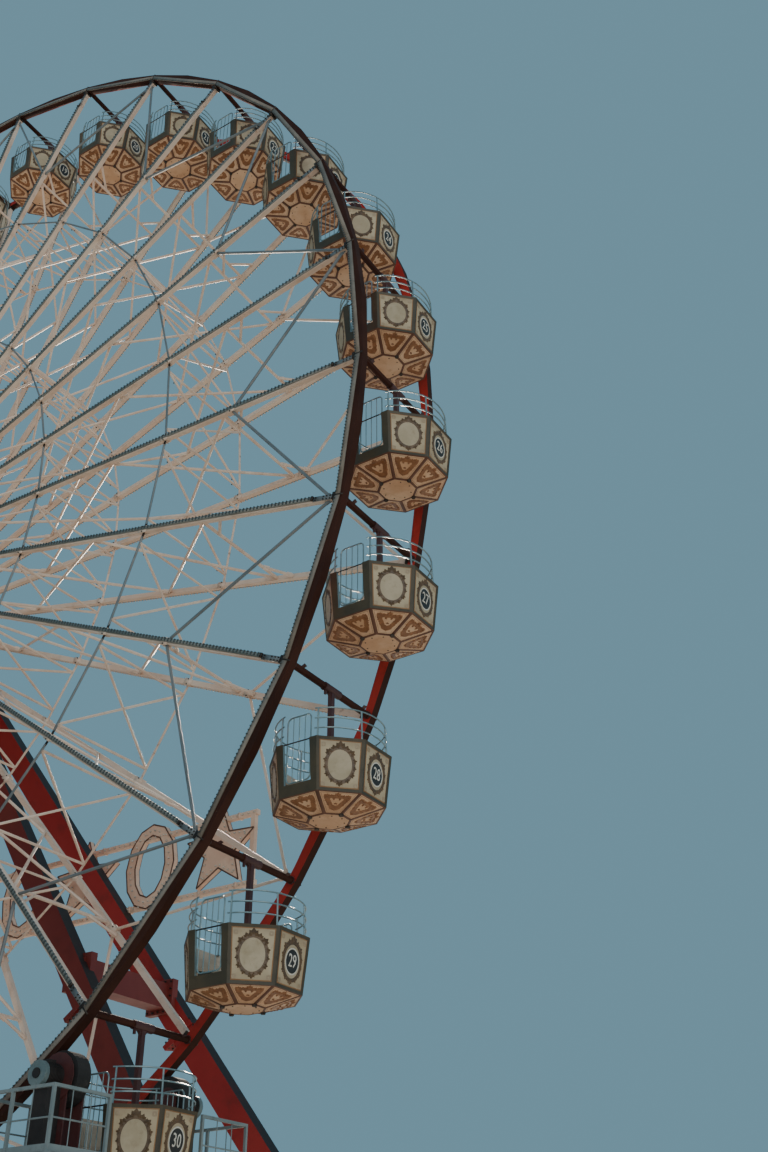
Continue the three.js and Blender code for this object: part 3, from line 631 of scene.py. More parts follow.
tower_blue = painted(
    "tower_blue_grey_paint", base=(0.17, 0.225, 0.24), worn=(0.24, 0.29, 0.30), grime=(0.09, 0.10, 0.10),
    roughness=0.42, patch=0.9, chips=0.035, under=(0.20, 0.11, 0.07), extra=maroon_cheeks)
sign_cream = painted(
    "sign_cream_paint", base=(0.68, 0.46, 0.35), worn=(0.78, 0.59, 0.47), grime=(0.42, 0.25, 0.16),
    roughness=0.48, patch=0.9, chips=0.02, under=(0.28, 0.14, 0.07))
motor_enamel = painted(
    "motor_dark_enamel", base=(0.024, 0.022, 0.022), worn=(0.042, 0.036, 0.034),
    grime=(0.018, 0.016, 0.015), roughness=0.45, metallic=0.2, patch=2.0, chips=0.02)
tyre_rubber = painted(
    "drive_tyre_rubber", base=(0.017, 0.017, 0.018), worn=(0.028, 0.027, 0.027),
    grime=(0.085, 0.075, 0.065), roughness=0.72, patch=2.4, grain=25.0)
NODE_PAINT = {
    "rim": rim_paint,
    "spokes": spoke_cream,
    "wheel_web": brace_cream,
    "hub": spoke_cream,
    # inner legs and bearing heads take the leg red darkened as painted shade
    "bearing": leg_red_painted_shade,
    "inner": leg_red_painted_shade,
    "outer": leg_red,
    "leg": brace_red,
    "sign": sign_cream,
    "drive_tower": tower_blue,
    "drive_motor": motor_enamel,
    "drive_tyre": tyre_rubber,
}
for name, node in frame["nodes"].items():
    paint = next((NODE_PAINT[key] for key in NODE_PAINT if name.startswith(key)), panel_cream)
    if not node.material_slots:
        node.data.materials.append(paint)
    for material_slot in node.material_slots:
        material_slot.material = paint
print("painted", len(frame["nodes"]), "nodes")

# %% [markdown]
# The spokes are square tubes on a ring around the drum. The tie bars between them are much thinner round
# tubes, with flattened, bolted ends, cream on the far side and steel grey on the near side, where the grey
# is painted shade on the cream. So these pieces take the place of the plain CAD spokes.

# %% Spokes and tie bars
SPOKE_RING = 1.4
SPOKE_ROOT = 0.1
SPOKE_END = RIM_RADIUS - RIM_TUBE / 2 - 0.003
DRUM_RADIUS = 1.09
RING_SEGMENTS = 64
TIE_TUBE = 0.052
TIE_GAP = 0.15
TIE_TAB = (0.056, 0.014)
TIE_TAB_OVERLAP = 1.2
SPOKE_FINISHES = [spoke_cream, steel_and_painted_shade, bolt_steel]


def tie_ends(radius, index, y):
    return on_wheel(radius, spoke_angle(index), y), on_wheel(radius, spoke_angle(index + 1), y)


for side_name, side in SIDES.items():
    spokes, y = Stamps(), side * RIM_Y
    # on the near side the tie bars take the steel grey that is painted shade on cream, and their tabs dark
    # bolt steel
    tie_finish, tab_finish = (1, 2) if side < 0 else (0, 0)
    outlines = ring_outline(SPOKE_RING, SPOKE_RING), ring_outline(DRUM_RADIUS, DRUM_RADIUS)
    upright = Matrix.Rotation(math.pi / 2, 4, "X") @ Matrix.Translation((0, 0, -SPOKE_TUBE / 2))
    ring = waved_band(*outlines, RING_SEGMENTS, SPOKE_TUBE)
    spokes.stamp(ring, [Matrix.Translation(HUB + Y * y) @ upright])
    for index in range(CABINS):
        angle = spoke_angle(index)
        foot, top = on_wheel(SPOKE_RING - SPOKE_ROOT, angle, y), on_wheel(SPOKE_END, angle, y)
        spokes.bar(BOX, foot, top, SPOKE_TUBE, SPOKE_TUBE, Y)
        for radius in (INNER_TIE, OUTER_TIE):
            here, there = tie_ends(radius, index, y)
            gap = (there - here).normalized() * TIE_GAP
            spokes.bar(TUBE, here + gap, there - gap, TIE_TUBE, TIE_TUBE, Y, tie_finish)
            for end, inward in ((here, gap), (there, -gap)):
                spokes.bar(BOX, end, end + inward * TIE_TAB_OVERLAP, *TIE_TAB, inward.cross(Y), tab_finish)
    spoke_piece = spokes.piece(f"spokes_and_ties_{side_name}", "wheel", SPOKE_FINISHES, "spoke_cream", 40)
    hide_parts(f"spokes_{side_name}")


# %% [markdown]
# Between the two planes of spokes runs the bracing that gives the wheel its lace-like look. Each pair of
# spokes is tied by long crosses, and further out by a batten with two short knees. In each bay the tie bars
# carry a framed panel: two battens and a cross. Closer to the rim, every second spoke sends two bars out to
# its neighbours' ends, in both planes. The bars end in flattened, bolted tabs.

# %% Bracing
BAR_END = RIM_Y - SPOKE_TUBE / 2
CROSS_RADII = (1.9, 5.7, 10.3, 13.5)
CROSS_TUBE = 0.066
BATTEN_RADIUS = 13.5
KNEE_RADIUS = 13.95
KNEE_REACH = 0.52
BATTEN_TUBE = 0.075
PANEL_INSET = 0.29
PANEL_TUBE = 0.058
PANEL_BOLT_SHARE = 0.09
PANEL_BOLT = (0.034, 0.034)
VEE_TUBE = 0.066
VEE_START = 13.74
VEE_END = 16.78
TAB_START = 0.02
TAB_LONG = 0.13
TAB_WIDE = 0.10
TAB_THICK = 0.02
BRACING_FINISHES = [brace_cream, bolt_steel, steel_and_painted_shade]


def outward(index):
    """The direction away from the hub, at a spoke or between two."""
    return on_wheel(1, spoke_angle(index), 0) - HUB


def spoke_frame_bars(index):
    """Start, end and thickness of the bars in the plane of one pair of spokes."""
    angle = spoke_angle(index)
    for inner, outer in zip(CROSS_RADII, CROSS_RADII[1:]):
        for side in (-1, 1):
            yield on_wheel(inner, angle, side * BAR_END), on_wheel(outer, angle, -side * BAR_END), CROSS_TUBE
    yield on_wheel(BATTEN_RADIUS, angle, -BAR_END), on_wheel(BATTEN_RADIUS, angle, BAR_END), BATTEN_TUBE
    for side in (-1, 1):
        knee_foot = on_wheel(BATTEN_RADIUS, angle, side * (BAR_END - KNEE_REACH))
        yield on_wheel(KNEE_RADIUS, angle, side * BAR_END), knee_foot, CROSS_TUBE


def tie_panel_bars(index):
    """Start and end of the two battens and the cross between the tie bars of one bay, at both radii."""
    for radius in (INNER_TIE, OUTER_TIE):
        here, there = tie_ends(radius, index, 0)
        inset = (there - here).normalized() * PANEL_INSET
        corners = [here + inset, there - inset]
        for corner in corners:
            yield corner - Y * RIM_Y, corner + Y * RIM_Y
        for side in (-1, 1):
            yield corners[0] - Y * side * RIM_Y, corners[1] + Y * side * RIM_Y


def vee_bars(index, side):
    for neighbour in (index - 1, index + 1):
        start = on_wheel(VEE_START, spoke_angle(index), side * RIM_Y)
        yield start, on_wheel(VEE_END, spoke_angle(neighbour), side * RIM_Y)


def tab_place(start, end):
    """A flattened bar end, lying in the plane square to the wheel's axle as far as the bar allows."""
    along = (end - start).normalized()
    low, high = start + along * TAB_START, start + along * (TAB_START + TAB_LONG)
    return bar_place(low, high, TAB_WIDE, TAB_THICK, along.cross(Y))


bracing, rim_vees = Stamps(), Stamps()
for index in range(CABINS):
    for start, end, tube in spoke_frame_bars(index):
        bracing.bar(TUBE, start, end, tube, tube, across_spoke(spoke_angle(index)))
        bracing.stamp(BOX, [tab_place(start, end), tab_place(end, start)])
    away = outward(index + 0.5)
    for start, end in tie_panel_bars(index):
        bracing.bar(TUBE, start, end, PANEL_TUBE, PANEL_TUBE, away)
        bolts = [foot.lerp(other, PANEL_BOLT_SHARE) for foot, other in ((start, end), (end, start))]
        bracing.studs(HEX_BOLT, [bolt - away * PANEL_TUBE * 0.4 for bolt in bolts], -away, PANEL_BOLT, 1)
for index in range(0, CABINS, 2):
    for side in SIDES.values():
        # the near side's vees take the steel grey that is painted shade on cream
        finish = 2 if side < 0 else 0
        for start, end in vee_bars(index, side):
            rim_vees.bar(TUBE, start, end, VEE_TUBE, VEE_TUBE, Y, finish)
            rim_vees.stamp(BOX, [tab_place(end, start)], finish)
bracing_piece = bracing.piece("wheel_bracing", "wheel", BRACING_FINISHES, "spoke_cream", 40)
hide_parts("wheel_web")
rim_vees.piece("rim_vee_tubes", "wheel", BRACING_FINISHES, "spoke_cream", 40)

# %% [markdown]
# A grey-teal metal strip with two close rows of lamp caps runs along the outer face of every spoke. On the
# near side the caps are dark, which is painted shade; on the far side they are cream, which is painted light
# shining through them from behind. The caps of one row overhang the spoke's edge, which is what gives the
# spokes their saw-toothed edge against the sky. The far side's strips are the near side's turned about, so
# their teeth stand on the other edge.

# %% Spoke lamp strips
STRIP_WIDE = 0.078
STRIP_THICK = 0.024
STRIP_SHIFT = 0.016
STRIP_START = 1.75
STRIP_END = 16.33
STRIP_MIDDLE_Y = RIM_Y + SPOKE_TUBE / 2 + STRIP_THICK / 2
LAMP_PITCH = 0.09
LAMP_SIZE = (0.048, 0.030)
LAMP_ROWS = (0.050, 0.012)
TOOTH = tube_shape(4, 0.75)


def strip_place(index, side):
    angle = spoke_angle(index)
    across = across_spoke(angle)
    shift = across * STRIP_SHIFT * -side
    ends = (on_wheel(radius, angle, side * STRIP_MIDDLE_Y) for radius in (STRIP_START, STRIP_END))
    return bar_place(*(end + shift for end in ends), STRIP_WIDE, STRIP_THICK, across)


def spoke_lamp_feet(index, side):
    angle = spoke_angle(index)
    for row in LAMP_ROWS:
        shift = across_spoke(angle) * row * -side
        for k in range(int((STRIP_END - STRIP_START) / LAMP_PITCH)):
            yield on_wheel(STRIP_START + (k + 0.5) * LAMP_PITCH, angle, side * STRIP_MIDDLE_Y) + shift


for side_name, side in SIDES.items():
    strips, lamps = Stamps(), Stamps()
    for index in range(CABINS):
        strips.stamp(BOX, [strip_place(index, side)])
        lamps.studs(TOOTH, spoke_lamp_feet(index, side), Y * side, LAMP_SIZE)
    strips.piece(f"spoke_strips_{side_name}", "wheel", [strip_teal])
    # near lamps take the dark caps that are painted shade; far lamps take the spoke cream as painted light
    # shining through from behind
    lamps.piece(f"spoke_lamps_{side_name}", "wheel", [lamp_cap if side < 0 else spoke_cream])


# %% [markdown]
# The rim is a round arc, but the tube that carries its lamps runs straight from spoke to spoke, so it dips
# below the arc in every bay. A pale grey strip with a close row of lamp caps along its inner edge covers
# its outer face. At its outer end a spoke carries a splice plate with dark bolts, between a clamp and the
# rim's bracket.

# %% Rim strips, brackets and splices
CHORD_RADIUS = 16.975
CHORD_DEEP = 0.108
CHORD_WIDE = RIM_TUBE - 0.01
RIM_STRIP_THICK = 0.018
RIM_STRIP_MIDDLE_Y = RIM_Y + RIM_TUBE / 2 + RIM_STRIP_THICK / 2
RIM_LAMP_PITCH = 0.075
RIM_LAMP_SIZE = (0.040, 0.030)
RIM_LAMP_SHIFT = 0.040
BRACKET_LONG = 0.15
BRACKET_WIDE = 0.20
BRACKET_DEEP = 0.07
SPLICE_RADII = (16.38, 16.86)
SPLICE_WIDE = SPOKE_TUBE - 0.004
SPLICE_THICK = 0.012
SPLICE_MIDDLE_Y = RIM_Y + SPOKE_TUBE / 2 + SPLICE_THICK / 2
SPLICE_BOLT_RADII = (16.44, 16.62, 16.70, 16.78)
SPLICE_BOLT_SHIFT = 0.030
SPLICE_BOLT = (0.03, 0.02)
CLAMP_LONG = 0.045
CLAMP_WIDE = 0.088
CLAMP_THICK = 0.045
SEAM = 0.012
SEAM_WIDE = RIM_TUBE + 0.044
SEAM_DEEP = RIM_TUBE + 0.02
RIM_FINISHES = [strip_pale, lamp_cap, steel_and_painted_shade, bolt_steel, rim_paint]


def rim_lamp_feet(index, side):
    start, end = tie_ends(CHORD_RADIUS, index, side * RIM_STRIP_MIDDLE_Y)
    count = int((end - start).length / RIM_LAMP_PITCH)
    for k in range(1, count):
        yield start.lerp(end, k / count) - outward(index + 0.5) * RIM_LAMP_SHIFT


def splice_bolt_feet(index, side):
    angle = spoke_angle(index)
    y = side * (RIM_Y + SPOKE_TUBE / 2 + SPLICE_THICK)
    for radius in SPLICE_BOLT_RADII:
        for shift in (-SPLICE_BOLT_SHIFT, SPLICE_BOLT_SHIFT):
            yield on_wheel(radius, angle, y) + across_spoke(angle) * shift


def clamp_place(index, side):
    """A dark block on a spoke's outer face, at the inner end of its splice."""
    angle = spoke_angle(index)
    shift = Y * side * (SPOKE_TUBE / 2 + CLAMP_THICK / 2) + across_spoke(angle) * STRIP_SHIFT * -side
    inner, outer = SPLICE_RADII[0] - CLAMP_LONG, SPLICE_RADII[0]
    low, high = on_wheel(inner, angle, side * RIM_Y), on_wheel(outer, angle, side * RIM_Y)
    return bar_place(low + shift, high + shift, CLAMP_WIDE, CLAMP_THICK, across_spoke(angle))


for side_name, side in SIDES.items():
    rim_fit = Stamps()
    for index in range(CABINS):
        angle, across = spoke_angle(index), across_spoke(spoke_angle(index))
        rim_fit.bar(BOX, *tie_ends(CHORD_RADIUS, index, side * RIM_Y), CHORD_WIDE, CHORD_DEEP, Y, 4)
        strip_ends = tie_ends(CHORD_RADIUS, index, side * RIM_STRIP_MIDDLE_Y)
        rim_fit.bar(BOX, *strip_ends, RIM_STRIP_THICK, CHORD_DEEP, Y)
        rim_fit.studs(TOOTH, rim_lamp_feet(index, side), Y * side, RIM_LAMP_SIZE, 1)
        splice_ends = (on_wheel(radius, angle, side * SPLICE_MIDDLE_Y) for radius in SPLICE_RADII)
        rim_fit.bar(BOX, *splice_ends, SPLICE_WIDE, SPLICE_THICK, across, 2)
        rim_fit.stamp(BOX, [clamp_place(index, side)], 3)
        rim_fit.studs(HEX_BOLT, splice_bolt_feet(index, side), Y * side, SPLICE_BOLT, 3)
        corner = on_wheel(RIM_RADIUS - RIM_TUBE / 2 - BRACKET_DEEP / 2, angle, side * RIM_Y)
        along = across * BRACKET_LONG / 2
        rim_fit.bar(BOX, corner - along, corner + along, BRACKET_WIDE, BRACKET_DEEP, Y, 3)
        seam = on_wheel(RIM_RADIUS - SEAM, angle, side * RIM_Y)
        rim_fit.bar(BOX, seam - across * SEAM, seam + across * SEAM, SEAM_WIDE, SEAM_DEEP, Y, 3)
    rim_fit.piece(f"rim_strips_{side_name}", "wheel", RIM_FINISHES)


# %% [markdown]
# Where the tie bars and the bracing meet a spoke there is a small gusset with bolts. On the cross beams sit
# two short thin fins, near the ends.

# %% Gussets and beam fittings
GUSSET_LONG = 0.22
GUSSET_WIDE = 0.15
GUSSET_THICK = 0.014
GUSSET_BOLT_SHIFT = 0.060
FIN_SHARE = 0.76
FIN_REACH = 0.132
FIN_TURN = math.radians(55)
FIN_LEAN = 0.025
FIN_WIDE = 0.08
FIN_THICK = 0.016
ROOT_PLATE_GAP = 0.02
ROOT_PLATE_WIDE = 0.155
ROOT_PLATE_HALF = 0.012

gussets, beam_fit = Stamps(), Stamps()
for index in range(CABINS):
    angle, across = spoke_angle(index), across_spoke(spoke_angle(index))
    vee_joint = (VEE_START,) if index % 2 == 0 else ()
    for side in SIDES.values():
        for radius in (INNER_TIE, OUTER_TIE) + vee_joint:
            for face in (-1, 1):
                y = side * RIM_Y + face * (SPOKE_TUBE / 2 + GUSSET_THICK / 2)
                ends = (on_wheel(radius + end * GUSSET_LONG / 2, angle, y) for end in (-1, 1))
                gussets.bar(BOX, *ends, GUSSET_WIDE, GUSSET_THICK, across)
                middle = on_wheel(radius, angle, y + face * GUSSET_THICK / 2)
                feet = [middle + across * shift for shift in (-GUSSET_BOLT_SHIFT, GUSSET_BOLT_SHIFT)]
                gussets.studs(HEX_BOLT, feet, Y * face, SPLICE_BOLT, 1)
        foot = on_wheel(RIM_RADIUS, angle, side * RIM_Y * FIN_SHARE)
        lean = on_wheel(FIN_REACH, angle + FIN_TURN, -side * FIN_LEAN) - HUB
        beam_fit.bar(BOX, foot, foot + lean, FIN_WIDE, FIN_THICK, Y)
        root = on_wheel(RIM_RADIUS, angle, side * (RIM_Y - RIM_TUBE / 2 - ROOT_PLATE_GAP))
        reach = Y * ROOT_PLATE_HALF
        beam_fit.bar(ROUND, root - reach, root + reach, ROOT_PLATE_WIDE, ROOT_PLATE_WIDE, X)
gussets.piece("spoke_gussets", "wheel", [brace_cream, bolt_steel])
beam_fit.piece("beam_fittings", "wheel", [beam_maroon], "rim_maroon", 40)

# %% [markdown]
# The hub gets a ring of bolts and the spoke sockets on each side, then stepped covers over the drum and a
# dark round cap on each end of the axle.

# %% Hub fittings
DRUM_END = RIM_Y + 0.12
AXLE_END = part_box("hub")[1].y
SOCKET_RADII = (SPOKE_RING + 0.02, SPOKE_RING + 0.30)
SOCKET_WIDE = 0.14
RING_BOLT_RADIUS = (DRUM_RADIUS + SPOKE_RING) / 2 + 0.03
RING_BOLT = (0.06, 0.04)
COVER_BOLT_RADIUS = 0.62
COVER_BOLT = (0.055, 0.035)
COVER_THICK = 0.02
DRUM_DISCS = ((DRUM_RADIUS - 0.08, COVER_THICK, 2), (0.46, 0.07, 0), (0.27, 0.12, 2))
CAP_LONG = 0.10
CAP_WIDE = 0.25
CAP_INSET = 0.03

hub_fit = Stamps()
for side in SIDES.values():
    out = Y * side
    face = side * (RIM_Y + SPOKE_TUBE / 2)
    for k in range(CABINS):
        hub_fit.studs(HEX_BOLT, [on_wheel(RING_BOLT_RADIUS, spoke_angle(k + 0.5), face)], out, RING_BOLT, 1)
        socket_ends = (on_wheel(radius, spoke_angle(k), side * RIM_Y) for radius in SOCKET_RADII)
        hub_fit.bar(BOX, *socket_ends, SOCKET_WIDE, SOCKET_WIDE, Y)
    for radius, thick, finish in DRUM_DISCS:
        hub_fit.disc(HUB + out * DRUM_END, out * thick, radius, finish)
    cover_face = side * (DRUM_END + COVER_THICK)
    feet = [on_wheel(COVER_BOLT_RADIUS, spoke_angle(k), cover_face) for k in range(0, CABINS, 2)]
    hub_fit.studs(HEX_BOLT, feet, out, COVER_BOLT, 1)
    cap = HUB + out * (AXLE_END - CAP_INSET)
    hub_fit.bar(ROUND, cap - out * CAP_LONG, cap, CAP_WIDE, CAP_WIDE, X, 1)
hub_fit.piece("hub_fittings", "wheel", [brace_cream, bolt_steel, beam_maroon], "spoke_cream", 35)

# %% [markdown]
# The cabin is an eight-sided tub that hangs from its cross beam. Its walls are lofted between two octagons,
# the two entrances are cut out with planes, and solidify gives the wall its thickness. Insetting each wall
# face twice makes the olive frame, the ochre line and the sunken cream panel in three short steps.

# %% Cabin measures and walls
WALL_TOP_FLATS = 2.04
WALL_BOTTOM_FLATS = 1.85
BASE_FLATS = 0.69
WALL_THICK = 0.05
ENTRY_HALF = 0.275
SILL_TOP = WALL_BOTTOM + 0.20
CABIN_SIDES = 8
SIDE_TURN = 2 * math.pi / CABIN_SIDES
# how much of a face's normal lies along a direction for it to count as facing that way
SAME_WAY = 0.9
UPWARDS = 0.7
EDGE_ON = 0.4
# play around the entrance's edges, and how far below the wall's top its upper faces may lie
SLACK = 0.01
TOP_BAND = 0.1
CREAM, OLIVE, OCHRE, TAN_AND_PAINTED_SUN, STRIP, INSIDE, BLUE, DARK, MAROON = range(9)
SHELL_PAINTS = [panel_cream, trim_olive, trim_ochre, cone_tan_and_painted_sun, cone_dark, inside_cream, pale_blue, floor_dark,
                beam_maroon]
# width, depth and paint of each frame around a panel, from the outer one in
WALL_FRAMES = [(0.056, 0.010, OLIVE), (0.018, -0.003, OCHRE)]


def corner_radius(flats):
    return flats / 2 / math.cos(SIDE_TURN / 2)


def corner_turns():
    return [(k + 0.5) * SIDE_TURN for k in range(CABIN_SIDES)]


def around(radius, turn, z):
    return Vector((radius * math.cos(turn), radius * math.sin(turn), z))


def octagon(bm, flats, z, cap=False):
    """An octagon with flats facing the axes; returns its edges."""
    place = Matrix.Translation((0, 0, z)) @ Matrix.Rotation(SIDE_TURN / 2, 4, "Z")
    ring = bmesh.ops.create_circle(
        bm, cap_ends=cap, segments=CABIN_SIDES, radius=corner_radius(flats), matrix=place)
    return list(dict.fromkeys(edge for vert in ring["verts"] for edge in vert.link_edges))


def set_paint(faces, paint):
    for face in faces:
        face.material_index = paint


def frame_faces(bm, faces, frames, paint):
    """Insets faces once for each frame around them, and paints what is left."""
    for wide, deep, frame_paint in frames:
        set_paint(faces, frame_paint)
        bmesh.ops.inset_individual(bm, faces=faces, thickness=wide, depth=-deep, use_even_offset=True)
    set_paint(faces, paint)


def on_entrance_side(face):
    return abs(face.normal.y) > SAME_WAY


def cut_entrances(bm):
    planes = [((side * ENTRY_HALF, 0, 0), X) for side in (-1, 1)] + [((0, 0, SILL_TOP), Z)]
    for point, normal in planes:
        bm.normal_update()
        faces = [face for face in bm.faces if on_entrance_side(face)]
        edges = dict.fromkeys(edge for face in faces for edge in face.edges)
        verts = dict.fromkeys(vert for face in faces for vert in face.verts)
        bmesh.ops.bisect_plane(bm, geom=[*faces, *edges, *verts], dist=1e-5, plane_co=point, plane_no=normal)
    gaps = []
    for face in bm.faces:
        middle = face.calc_center_median()
        if on_entrance_side(face) and abs(middle.x) < ENTRY_HALF - SLACK and middle.z > SILL_TOP:
            gaps.append(face)
    bmesh.ops.delete(bm, geom=gaps, context="FACES")


def outwardness(face):
    """Above nought where a face looks away from the cabin's middle, below where it looks to it."""
    middle = face.calc_center_median()
    return face.normal.x * middle.x + face.normal.y * middle.y


def paint_wall_faces(bm):
    """Paints tops, edges and insides; returns the faces that carry a panel."""
    panels = []
    for face in bm.faces:
        middle = face.calc_center_median()
        if face.normal.z > UPWARDS:
            face.material_index = BLUE if middle.z < WALL_TOP - TOP_BAND else OLIVE
        elif abs(outwardness(face)) < EDGE_ON:
            face.material_index = BLUE if abs(middle.x) < ENTRY_HALF + SLACK else OLIVE
        elif outwardness(face) < 0:
            face.material_index = INSIDE
        else:
            face.material_index = OLIVE
            if not on_entrance_side(face):
                panels.append(face)
    return panels


def cabin_walls(bm):
    rings = octagon(bm, WALL_BOTTOM_FLATS, WALL_BOTTOM) + octagon(bm, WALL_TOP_FLATS, WALL_TOP)
    bmesh.ops.bridge_loops(bm, edges=rings)
    bmesh.ops.recalc_face_normals(bm, faces=bm.faces[:])
    if sum(outwardness(face) for face in bm.faces) < 0:
        bmesh.ops.reverse_faces(bm, faces=bm.faces[:])
    cut_entrances(bm)
    bmesh.ops.solidify(bm, geom=bm.faces[:], thickness=WALL_THICK)
    bmesh.ops.recalc_face_normals(bm, faces=bm.faces[:])
    frame_faces(bm, paint_wall_faces(bm), WALL_FRAMES, CREAM)


# %% [markdown]
# Under the walls closes a shallow cone of eight tan panels, framed in dark strips, around a flat bottom
# plate; the tan is lightened as painted sunlight. Inside are the floor, a curved seat with a pale blue edge,
# and the centre post, which flares into the sleeve on the beam. The flare is a plate with a round inner
# edge, drawn with an arc and extruded.

# %% Cabin underside, floor, seat and post
UNDERSIDE_FRAMES = [(0.036, 0.006, STRIP), (0.018, -0.001, TAN_AND_PAINTED_SUN), (0.005, -0.001, STRIP)]
BASE_FRAMES = [(0.018, 0.004, STRIP)]
FLOOR_INSET = 0.04
FLOOR_TOP = WALL_BOTTOM + 0.04
SEAT_FRONT = 0.48
SEAT_RADIUS = 0.80
SEAT_BACK_TOP = -1.64
SEAT_TOP = -1.92
SEAT_THICK = 0.05
SEAT_BACK_FOOT_THICK, SEAT_BACK_TOP_THICK = 0.03, 0.05
SEAT_SPREAD = math.radians(112)
SEAT_STEPS = 10
POST_TUBE = 0.09
POST_FOOT, POST_TOP = WALL_BOTTOM + 0.02, -0.05
SLEEVE_LONG = 0.48
SLEEVE_RADIUS = 0.080
FILLET = 0.13
FILLET_STEPS = 6
FILLET_THICK = 0.06
FILLET_BITE = (0.01, 0.02)
FILLET_TOP = -SLEEVE_RADIUS * 0.8
LUG_HALF = 0.02
LUG_Y = (0.03 - SLEEVE_LONG / 2, 0.07 - SLEEVE_LONG / 2)
LUG_Z = (-0.15, -0.06)


def cabin_cone(bm):
    before = set(bm.faces)
    rings = octagon(bm, WALL_BOTTOM_FLATS, WALL_BOTTOM) + octagon(bm, BASE_FLATS, CABIN_BASE)
    bmesh.ops.bridge_loops(bm, edges=rings)
    sides = [face for face in bm.faces if face not in before]
    side_edges = dict.fromkeys(edge for face in sides for edge in face.edges)
    base_ring = [edge for edge in side_edges if all(vert.co.z < CABIN_BASE + 1e-4 for vert in edge.verts)]
    base = bmesh.ops.contextual_create(bm, geom=base_ring)["faces"]
    bmesh.ops.recalc_face_normals(bm, faces=sides + base)
    if base[0].normal.z > 0:
        bmesh.ops.reverse_faces(bm, faces=sides + base)
    frame_faces(bm, sides, UNDERSIDE_FRAMES, TAN_AND_PAINTED_SUN)
    frame_faces(bm, base, BASE_FRAMES, TAN_AND_PAINTED_SUN)


def cabin_floor(bm):
    before = set(bm.faces)
    octagon(bm, WALL_BOTTOM_FLATS - FLOOR_INSET, FLOOR_TOP, cap=True)
    floor = [face for face in bm.faces if face not in before]
    set_paint(floor, DARK)
    if floor[0].normal.z < 0:
        bmesh.ops.reverse_faces(bm, faces=floor)


def spun_band(bm, profile, middle):
    """Spins a closed profile of (radius, z) points about the cabin's axis and closes both ends."""
    before = set(bm.faces)
    start = middle - SEAT_SPREAD / 2
    verts = [bm.verts.new(around(radius, start, z)) for radius, z in profile]
    edges = [bm.edges.new((verts[k - 1], verts[k])) for k in range(len(verts))]
    bmesh.ops.contextual_create(bm, geom=edges)
    swept = bmesh.ops.spin(
        bm, geom=verts + edges, cent=(0, 0, 0), axis=(0, 0, 1), angle=SEAT_SPREAD, steps=SEAT_STEPS)
    last_edges = [item for item in swept["geom_last"] if isinstance(item, bmesh.types.BMEdge)]
    bmesh.ops.contextual_create(bm, geom=last_edges)
    faces = [face for face in bm.faces if face not in before]
    bmesh.ops.recalc_face_normals(bm, faces=faces)
    set_paint(faces, INSIDE)
    return faces


def cabin_seats(bm):
    back = [(SEAT_RADIUS, FLOOR_TOP), (SEAT_RADIUS + SEAT_BACK_FOOT_THICK, FLOOR_TOP),
            (SEAT_RADIUS + SEAT_BACK_TOP_THICK, SEAT_BACK_TOP), (SEAT_RADIUS, SEAT_BACK_TOP)]
    pan = [(SEAT_FRONT, SEAT_TOP - SEAT_THICK), (SEAT_RADIUS, SEAT_TOP - SEAT_THICK),
           (SEAT_RADIUS, SEAT_TOP), (SEAT_FRONT, SEAT_TOP)]
    for middle in (0.0, math.pi):
        set_paint([face for face in spun_band(bm, back, middle) if face.normal.z > UPWARDS], BLUE)
        spun_band(bm, pan, middle)


def paint_made(made, paint):
    set_paint({face for vert in made["verts"] for face in vert.link_faces}, paint)


def put_box(bm, low, high, paint):
    middle, size = (Vector(low) + Vector(high)) / 2, Vector(high) - Vector(low)
    place = Matrix.Translation(middle) @ Matrix.Diagonal((*size, 1))
    paint_made(bmesh.ops.create_cube(bm, size=1, matrix=place), paint)


def put_fillet(bm, side):
    """The round web between post and sleeve, in the plane of the beam."""
    half, top = POST_TUBE / 2, FILLET_TOP
    bite_y, bite_z = FILLET_BITE
    inner, outer = half - bite_y, half + FILLET
    arc = []
    for k in range(FILLET_STEPS + 1):
        turn = math.pi / 2 * (1 + k / FILLET_STEPS)
        arc.append((outer + FILLET * math.cos(turn), top - FILLET + FILLET * math.sin(turn)))
    outline = [(inner, top + bite_z), (outer, top + bite_z), *arc, (inner, top - FILLET)]
    face = bm.faces.new([bm.verts.new((-FILLET_THICK / 2, side * y, z)) for y, z in outline])
    moved = points_of(bmesh.ops.extrude_face_region(bm, geom=[face])["geom"])
    bmesh.ops.translate(bm, verts=moved, vec=(FILLET_THICK, 0, 0))
    faces = [face, *dict.fromkeys(made for vert in moved for made in vert.link_faces)]
    bmesh.ops.recalc_face_normals(bm, faces=faces)
    set_paint(faces, MAROON)


def cabin_post(bm):
    half = POST_TUBE / 2
    put_box(bm, (-half, -half, POST_FOOT), (half, half, POST_TOP), MAROON)
    sleeve = bmesh.ops.create_cone(
        bm, cap_ends=True, segments=16, radius1=SLEEVE_RADIUS, radius2=SLEEVE_RADIUS,
        depth=SLEEVE_LONG, matrix=Matrix.Rotation(math.pi / 2, 4, "X"))
    paint_made(sleeve, MAROON)
    for side in (-1, 1):
        put_fillet(bm, side)
    put_box(bm, (-LUG_HALF, LUG_Y[0], LUG_Z[0]), (LUG_HALF, LUG_Y[1], LUG_Z[1]), MAROON)


def keep_local_places(mesh):
    """Keeps each point's place in the cabin as an attribute, for the paints."""
    places = np.zeros(len(mesh.vertices) * 3, np.float32)
    mesh.vertices.foreach_get("co", places)
    mesh.attributes.new("local", "FLOAT_VECTOR", "POINT").data.foreach_set("vector", places)


